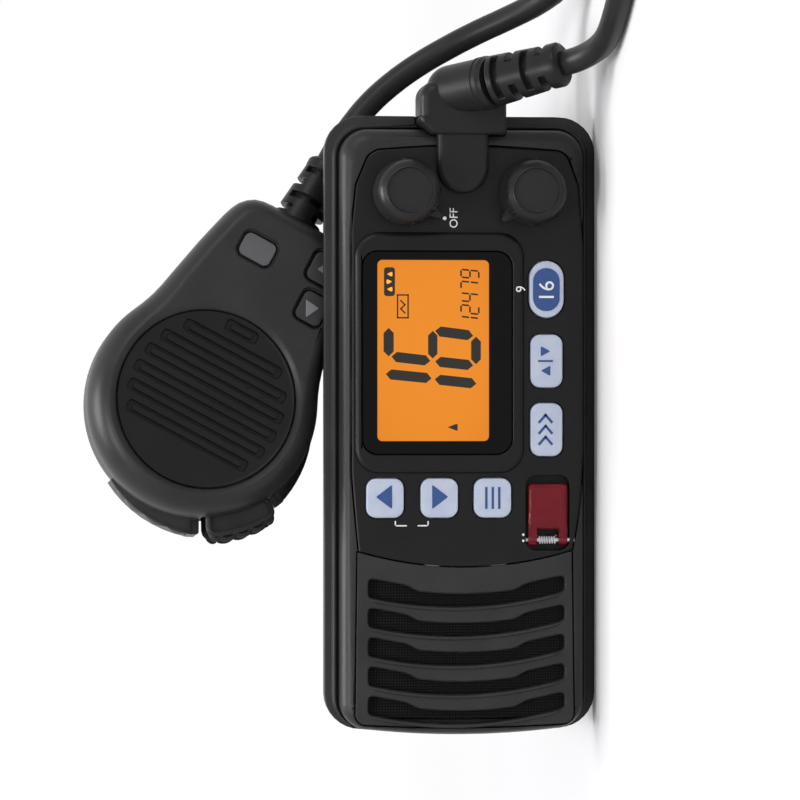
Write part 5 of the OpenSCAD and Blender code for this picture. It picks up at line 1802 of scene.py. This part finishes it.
@dataclass
class Microphone:
    """Fist microphone, modelled flat in its own frame and then put in its place."""

    front_depth: float = 13.0
    grille_r: float = 22.0
    slots: int = 7
    slot_first: float = -10.3
    slot_pitch: float = 4.9
    window: tuple[float, float] = (207.3, 243.7)
    talk: tuple[float, float] = (209.0, 242.0)
    talk_inner: float = 26.1
    talk_r: float = 35.0
    talk_half: float = 5.5
    tab_r: tuple[float, float] = (24.8, 26.3)
    tab_reach: float = 5.0
    rib_depth: float = 0.7
    rib_waves: float = 4.5
    lips: tuple[tuple[float, float, float], ...] = ((202.0, 207.2, 32.35), (243.9, 249.0, 31.8))
    lip_inner: float = 27.6
    lip_levels: tuple[float, float] = (-8.6, -1.1)
    relief_x: float = 52.0
    neck_x: float = 48.6
    keys: tuple[tuple[str, str, str, float, float, float, float], ...] = (
        ("mic_power_cap", "mic_key_power", "mic_key_power_cap", 39.2, 6.1, 6.2, 8.6),
        ("mic_up_cap", "mic_key_up", "mic_key_up_cap", 42.7, -10.8, 7.6, 7.0),
        ("mic_down_cap", "mic_key_down", "mic_key_down_cap", 32.6, -12.8, 7.6, 7.0),
    )

    @staticmethod
    def flat(outline: Sequence[Point], height: float, middle: Point = (0.0, 0.0)) -> Ring:
        """Lays an outline flat in the microphone's own frame."""
        return [Vector((middle[0] + a, middle[1] + b, height)) for a, b in outline]

    def half(self) -> bpy.types.Object:
        """Builds the front half of the case, without its openings."""
        whole = mic_outline()
        outline = [(x, y) for x, y, _ in whole]
        ways = [(ex - x, ey - y) for (x, y), (ex, ey) in zip(outline, inset(outline, 1.0))]
        base = [Vector((x, y, 0.12)) for x, y in outline]
        lip = [Vector((x + wx * 0.25, y + wy * 0.25, 0.0))
               for (x, y), (wx, wy) in zip(outline, ways)]
        rings = [lip, base]
        for inward, forward in fillet(14):
            head_z = self.front_depth * (0.3 + 0.7 * forward)
            neck_z = self.front_depth * (0.42 + 0.58 * forward)
            ring = []
            for (x, y, neck), (wx, wy) in zip(whole, ways):
                depth = 6.2 * inward * (1 - neck) + 4.6 * inward * neck
                z = head_z * (1 - neck) + neck_z * neck
                ring.append(Vector((x + wx * depth, y + wy * depth, z)))
            rings.append(ring)
        return Bench.loft("mic_front", rings)

    def place(self, obj: bpy.types.Object) -> bpy.types.Object:
        """Moves a piece from the microphone's own frame to where it leans on the set."""
        Bench.move(obj, MIC.matrix())
        return obj

    def slab(self, outline: Sequence[Point], low: float, high: float) -> bpy.types.Object:
        """Builds a straight-sided solid between two heights."""
        return Bench.loft("tool", [self.flat(outline, low), self.flat(outline, high)])

    def front(self, shop: Shop) -> None:
        """Builds the front half with its dished grille seat and key openings."""
        shell = self.half()
        d = self.front_depth
        dish = [(24.4, d + 1), (24.4, d + 0.02), (23.6, d - 0.25), (22.9, d - 0.7), (22.4, d - 1.1),
                (22.2, d - 1.3), (22.2, d - 1.9)]
        steps = [(0, d - 3), (0, d - 1.1), (-0.15, d - 0.8), (-0.6, d - 0.5), (-0.6, d + 2)]
        tools = [lathe("tool", OWN, dish, 96)]
        for _, _, _, x, y, w, h in self.keys:
            hole = box_outline(w + 0.5, h + 0.5, 1.8, 5)
            tools.append(Bench.loft("tool", stack(hole, steps, (x, y), self.flat)))
        a0, a1 = self.window
        window = arc(23.9, a1, a0 - a1, 2) + arc(40, a0, a1 - a0, 2)
        Bench.cut(shell, *tools, self.slab(window, -6, 5.9))
        Bench.soften(shell, 0.22, 2, 38)
        shop.add(self.place(shell), Body.SET, "mic_front_shell")

    def rear(self, shop: Shop) -> None:
        """Takes the rear half over and lengthens its lips beside the talk lever."""
        shell = Bench.merged("mic_rear_shell", "mic_rear")
        lips = []
        for start, end, r in self.lips:
            radii = self.eased(r, 0.8, end - start)
            half = len(radii) // 2
            before = start < self.talk[0]
            radii = [r] * half + radii[half:] if before else radii[:half] + [r] * (half + 1)
            lip = self.slab(self.sector(self.lip_inner, radii, start, end), *self.lip_levels)
            lips.append(self.place(lip))
        shell = Bench.join("mic_rear", shell, *lips)
        Bench.shade(shell, 35)
        shop.add(shell, Body.SET, "mic_rear_shell")

    def grille(self, shop: Shop) -> None:
        """Builds the slotted disc, with a bar in each slot."""
        d, r = self.front_depth, self.grille_r
        top = d - 0.75
        profile = [(r, d - 2.1), (r, top - 0.1), (r - 0.12, top + 0.08), (r - 0.35, top + 0.1),
                   (r - 0.55, top), (r - 0.75, top - 0.12), (r - 4, top - 0.1), (1, top - 0.05)]
        disc = lathe("mic_disc", OWN, profile, 96)
        slot_steps = [(0, top - 1.0), (0, top - 0.25), (-0.12, top - 0.08), (-0.3, top + 0.02),
                      (-0.3, top + 1)]
        bar_steps = [(0, top - 1.2), (0, top - 0.4), (0.08, top - 0.26), (0.25, top - 0.22)]
        tools, bars = [], []
        for i in range(self.slots):
            u = self.slot_first + i * self.slot_pitch
            half = math.sqrt((r - 2.4) ** 2 - u * u)
            slot = rounded(self.strip(u, 1.55, half), 1.1, 4)
            tools.append(Bench.loft("tool", stack(slot, slot_steps, place=self.flat)))
            rod = rounded(self.strip(u, 0.75, half - 1.5), 0.5, 3)
            bars.append(Bench.loft("bar", stack(rod, bar_steps, place=self.flat)))
        Bench.cut(disc, Bench.join("tool", *tools))
        disc = Bench.join("mic_disc", disc, *bars)
        Bench.shade(disc, 32)
        shop.add(self.place(disc), Body.SET, "mic_grille", finish="grille_plastic")

    @staticmethod
    def strip(x: float, width: float, length: float) -> Outline:
        """Corners of a strip about a line x, from its half width and half length."""
        left, right = x - width, x + width
        return [(right, -length), (right, length), (left, length), (left, -length)]

    def caps(self, shop: Shop) -> None:
        """Builds the three keys."""
        d = self.front_depth
        for name, node, body, x, y, w, h in self.keys:
            outline = box_outline(w, h, 1.6, 5)
            brim = inset(outline, -0.6)
            foot = d - 4.3
            steps = ((0, foot), (0, d - 0.7), (0.15, d - 0.42), (0.5, d - 0.32), (1.2, d - 0.3))
            rings = stack(brim, ((0, d - 5), (0, foot)), (x, y), self.flat)
            rings += stack(outline, steps, (x, y), self.flat)
            cap = Bench.loft(name, rings)
            Bench.shade(cap, 35)
            dark = None if node == "mic_key_power" else "arrow_key_rubber"
            shop.add(self.place(cap), body, node, finish=dark)

    @staticmethod
    def sector(inner: float, outer: Sequence[float], start: float, end: float) -> Outline:
        """Outline of a piece of a ring about the middle of the head.

        Args:
            inner: its inner radius.
            outer: its outer radii, one for each point of the outer side.
            start: the angle where it starts.
            end: the angle where it ends.

        Returns:
            The outline, counterclockwise.
        """
        last = len(outer) - 1
        turns = [math.radians(start + (end - start) * i / last) for i in range(last + 1)]
        far = [(r * math.cos(t), r * math.sin(t)) for r, t in zip(outer, turns)]
        near = [(inner * math.cos(t), inner * math.sin(t)) for t in reversed(turns)]
        return far + near

    @staticmethod
    def eased(radius: float, corner: float, angle: float) -> list[float]:
        """Radii of an arc whose two ends are rounded.

        Args:
            radius: the arc's radius.
            corner: the radius of its rounded ends.
            angle: the angle that it spans.

        Returns:
            The radius at each of its points.
        """
        last = 72
        made = []
        for i in range(last + 1):
            way = min(i, last - i) / last * math.radians(angle) * radius
            short = max(0.0, corner - way)
            made.append(radius - corner + math.sqrt(corner ** 2 - short ** 2))
        return made

    def lever(self, shop: Shop) -> None:
        """Builds the talk lever: a rounded block, its ribbed pad and the tabs that hold it."""
        start, end = self.talk
        half, outer = self.talk_half, self.talk_r
        parts = []
        arch = self.eased(outer - 1.5, 2.4, end - start)
        block = self.sector(self.talk_inner, arch, start, end)
        smooth = self.eased(outer, 3.0, end - start - 2)
        waves = [abs(math.cos(math.pi * self.rib_waves * (i / (len(smooth) - 1) - 0.5)))
                 for i in range(len(smooth))]
        ribs = [r - self.rib_depth * (1 - wave ** 0.6) for r, wave in zip(smooth, waves)]
        pad = self.sector(outer - 5, ribs, start + 1.0, end - 1.0)
        for outline, high in ((block, half), (pad, half - 1.3)):
            steps = [(inward, -(high - (1 - forward))) for inward, forward in fillet(3)]
            steps += [(inward, -level) for inward, level in reversed(steps)]
            parts.append(Bench.loft("talk_part", stack(outline, steps, place=self.flat)))
        inner, far = self.tab_r
        tabs = self.sector(inner, [far] * 13, start - self.tab_reach, end + self.tab_reach)
        parts.append(self.slab(tabs, -half, half))
        lever = Bench.join("talk_key", *parts)
        Bench.shade(lever, 38)
        shop.add(self.place(lever), Body.TALK, "mic_ptt")

    def relief(self, shop: Shop) -> None:
        """Builds the slotted strain relief of the microphone."""
        at, neck_at = (
            Axes(MIC.origin + MIC.x * x, MIC.y, MIC.z, MIC.x) for x in (self.relief_x, self.neck_x)
        )
        relief = cage("mic_cage", at, 18.0, 6.3, 4.6, 2.8)
        neck = lathe("neck", neck_at, [(4.2, 0), (4.2, 3.6)], 48)
        relief = Bench.join("mic_cage", relief, neck)
        Bench.shade(relief, 40)
        shop.add(relief, Body.SET, "mic_relief")

    def build(self, shop: Shop) -> None:
        """Builds the microphone."""
        self.front(shop)
        self.rear(shop)
        self.grille(shop)
        self.caps(shop)
        self.lever(shop)
        self.relief(shop)


# ---------------------------------------------------------------- printed marks

SEGMENTS = {
    "0": "abcdef", "1": "bc", "2": "abged", "3": "abgcd", "4": "fgbc",
    "5": "afgcd", "6": "afgedc", "7": "abc", "8": "abcdefg", "9": "abcdfg",
}


def bar(start: Point, end: Point, width: float) -> Outline:
    """Outline of a segment with pointed ends, counterclockwise."""
    (x0, z0), (x1, z1) = start, end
    along = Vector((x1 - x0, z1 - z0)).normalized() * width / 2
    across = Vector((-along.y, along.x))
    a, b = Vector(start), Vector(end)
    points = [a, a + along - across, b - along - across, b, b - along + across, a + along + across]
    return [(p.x, p.y) for p in points]


def digit(sign: str, corner: Point, size: Point, width: float, slant: float) -> list[Outline]:
    """Outlines of a seven-segment digit.

    Args:
        sign: the digit.
        corner: its lower left corner.
        size: its width and height.
        width: the width of a segment.
        slant: how far it leans for each millimetre of height.

    Returns:
        One outline for each segment.
    """
    w, h = size
    gap = width * 0.28
    places = {
        "a": ((0, h), (w, h)), "b": ((w, h), (w, h / 2)), "c": ((w, h / 2), (w, 0)),
        "d": ((0, 0), (w, 0)), "e": ((0, h / 2), (0, 0)), "f": ((0, h), (0, h / 2)),
        "g": ((0, h / 2), (w, h / 2)),
    }
    made = []
    for name in SEGMENTS[sign]:
        ends = [Vector(p) for p in places[name]]
        short = (ends[1] - ends[0]).normalized() * gap
        first, last = ends[0] + short, ends[1] - short
        outline = bar((first.x, first.y), (last.x, last.y), width)
        made.append([(corner[0] + x + slant * z, corner[1] + z) for x, z in outline])
    return made


def line(points: Sequence[Point], width: float) -> list[Outline]:
    """Outlines of a thin line through points."""
    made = []
    for (x0, z0), (x1, z1) in zip(points, points[1:]):
        way = Vector((x1 - x0, z1 - z0))
        along = way.normalized() * width / 2
        across = Vector((-along.y, along.x))
        a, b = Vector((x0, z0)) - along, Vector((x1, z1)) + along
        made.append([(p.x, p.y) for p in (a - across, b - across, b + across, a + across)])
    return made


def triangle(middle: Point, width: float, height: float) -> Outline:
    """Outline of a triangle that points up, or down when its height is negative."""
    x, z = middle
    points = [(x - width / 2, z - height / 2), (x + width / 2, z - height / 2), (x, z + height / 2)]
    return rounded(points if height > 0 else points[::-1], 0.4, 3)


def shifted(outline: Sequence[Point], middle: Point) -> Outline:
    """Moves an outline so that its origin lies at a point."""
    return [(x + middle[0], z + middle[1]) for x, z in outline]


@dataclass
class Marks:
    """Plain marks on the front and on the microphone: arrows, dots, lines, figures, one word."""

    panel_y: float = -60.04
    field_y: float = -60.5
    key_y: float = -61.09
    frame_y: float = -61.24

    @staticmethod
    def print_on(
        name: str, outlines: Sequence[Outline], front: float, back: float
    ) -> bpy.types.Object:
        """Makes one thin piece of several outlines."""
        return Bench.join(name, *[prism(name, o, back, front) for o in outlines])

    @staticmethod
    def word(
        name: str, text: str, middle: Point, height: float, front: float, back: float
    ) -> bpy.types.Object:
        """Sets plain letters or figures as a thin mesh.

        Args:
            name: the mesh's name.
            text: the letters.
            middle: the middle of the word on the front.
            height: the height of a capital.
            front: the depth of its front.
            back: the depth of its back.

        Returns:
            The mesh.
        """
        Bench.clear()
        bpy.ops.object.text_add()
        obj = bpy.context.object
        obj.data.body = text
        obj.data.extrude = 0.5
        obj.data.resolution_u = 4
        bpy.ops.object.convert(target="MESH")
        low = [min(v.co[i] for v in obj.data.vertices) for i in range(3)]
        high = [max(v.co[i] for v in obj.data.vertices) for i in range(3)]
        size = height / (high[1] - low[1])
        for vertex in obj.data.vertices:
            x = middle[0] + (vertex.co.x - (low[0] + high[0]) / 2) * size
            z = middle[1] + (vertex.co.y - (low[1] + high[1]) / 2) * size
            y = front if vertex.co.z > 0 else back
            vertex.co = Vector((x, y, z)) * MM
        obj.name = obj.data.name = name
        return obj

    def screen(self, shop: Shop) -> None:
        """Prints the display's figures."""
        one = [bar((12.6, 53.0), (11.5, 41.7), 2.5), bar((11.3, 40.9), (10.2, 30.6), 2.5)]
        six = [bar((16.9, 52.3), (23.9, 52.3), 2.5), bar((16.9, 51.6), (15.8, 42.0), 2.5),
               bar((16.4, 41.4), (23.2, 41.4), 2.3), bar((15.7, 40.8), (14.7, 31.4), 2.5),
               bar((23.2, 40.8), (22.0, 31.4), 2.5), bar((15.0, 30.7), (21.8, 30.7), 2.4)]
        small: list[Outline] = []
        for sign, x in zip("12479", (24.4, 27.3, 30.2, 33.1, 36.0)):
            small += digit(sign, (x, 30.0), (1.9, 4.4), 0.42, 0.1)
        badge = shifted(box_outline(7.1, 2.7, 0.7, 3), (35.25, 52.1))
        frame = line([(26.4, 47.5), (32.0, 47.5), (32.0, 50.1), (26.4, 50.1), (26.4, 47.5)], 0.35)
        frame += line([(27.6, 48.3), (28.6, 49.3), (29.6, 48.3), (30.6, 49.3)], 0.35)
        flag = [triangle((-0.5, 36.5), 1.9, 2.5)]
        outlines = [*one, *six, *small, badge, *frame, *flag]
        obj = self.print_on("display_figures", outlines, self.field_y, self.field_y + 0.06)
        shop.add(obj, Body.SET, slot="display_amber", finish="display_ink")
        arrows = [triangle((33.4, 52.1), 1.3, 1.4), triangle((35.25, 52.1), 1.3, -1.4),
                  triangle((37.1, 52.1), 1.3, 1.4)]
        obj = self.print_on("display_badge", arrows, self.field_y - 0.02, self.field_y + 0.01)
        shop.add(obj, Body.SET, slot="display_amber", finish="bare_field")

    def panel(self, shop: Shop) -> None:
        """Prints the white marks of the panel."""
        upper = line([(-23.7, 50.6), (-24.7, 50.6), (-24.7, 47.9)], 0.32)
        lower = line([(-24.7, 44.9), (-24.7, 42.5), (-23.7, 42.5)], 0.32)
        dots = [shifted(circle(r, 16), at) for r, at in
                ((0.45, (50.9, 38.4)), (0.3, (-28.5, 18.9)), (0.3, (-27.0, 18.9)))]
        front, back = self.panel_y, self.panel_y + 0.06
        plate = self.print_on("panel_marks", [*upper, *lower, *dots], front, back)
        off = self.word("off_mark", "OFF", (51.0, 36.2), 2.0, front, back)
        obj = Bench.join("panel_marks", plate, off)
        shop.add(obj, Body.SET, slot="case_plastic", finish="white_ink")
        nine = self.word("frame_mark", "9", (33.5, 19.7), 2.4, self.frame_y, self.frame_y + 0.1)
        shop.add(nine, Body.SET, slot="case_plastic", finish="white_ink")

    def keys(self, shop: Shop) -> None:
        """Prints the blue marks of the keys."""
        front, back = self.key_y, self.key_y + 0.3
        marks = {
            "key_up_cap": [triangle((-17.6, 53.5), 6.0, 4.0)],
            "key_down_cap": [triangle((-17.6, 39.6), 6.0, -4.0)],
            "key_menu_cap": [
                o for z in (28.2, 26.6, 25.0) for o in line([(-20.3, z), (-15.5, z)], 0.6)
            ],
            "key_scan_cap": [
                o
                for x in (-4.6, -1.9, 0.8)
                for o in line([(x, 12.0), (x + 1.7, 13.5), (x, 15.0)], 0.6)
            ],
            "key_channel_cap": [
                triangle((13.4, 13.5), 2.6, 2.4),
                triangle((18.2, 13.5), 2.6, -2.4),
                *line([(15.8, 11.9), (15.8, 15.1)], 0.5),
            ],
        }
        for body, outlines in marks.items():
            obj = self.print_on(body.replace("cap", "mark"), outlines, front, back)
            shop.add(obj, body, slot="key_plastic", finish="blue_ink")
        middle = (33.4, 13.3)
        oval = shifted(box_outline(10.6, 6.6, 3.2, 8), middle)
        obj = self.print_on("key_16_field", [oval], front, back)
        shop.add(obj, "key_16_cap", slot="key_plastic", finish="blue_ink")
        obj = self.word("key_16_mark", "16", middle, 3.8, front - 0.03, front + 0.02)
        shop.add(obj, "key_16_cap", slot="key_plastic", finish="pale_ink")

    def mic(self, shop: Shop) -> None:
        """Raises the arrows on the microphone's keys."""
        case = Microphone()
        top = case.front_depth - 0.3
        rise = math.atan2(MIC.y.z, MIC.x.z) - math.pi / 2
        steps = ((0, top - 0.1), (0, top + 0.18), (0.12, top + 0.28))
        for (name, _, body, x, y, _, _), turn in zip(case.keys[1:], (rise, rise + math.pi)):
            arrow = [Matrix.Rotation(turn, 2) @ Vector(p) for p in triangle((0, 0), 4.6, 3.4)]
            arrow = [(x + p.x, y + p.y) for p in arrow]
            obj = Bench.loft(f"{name}_arrow", stack(arrow, steps, place=case.flat))
            shop.add(case.place(obj), body, slot="mic_key_rubber", finish="grey_ink")

    def build(self, shop: Shop) -> None:
        """Prints every mark."""
        self.screen(shop)
        self.panel(shop)
        self.keys(shop)
        self.mic(shop)


FRAME: dict[str, Any] = {}


def main() -> None:
    """Builds the set in order."""
    logging.basicConfig(level=logging.INFO, format="%(name)s: %(message)s")
    FRAME.update(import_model())
    Studio().build()
    shop = Shop(finishes())
    shop.dress_nodes()
    Cord().build(shop)
    front = (FrontShell(), LouvrePlate(), Display(), Keypad(), Knobs(), DistressSwitch())
    for assembly in (*front, LeadCover(), Microphone(), Marks()):
        assembly.build(shop)


if __name__ == "__main__":
    main()
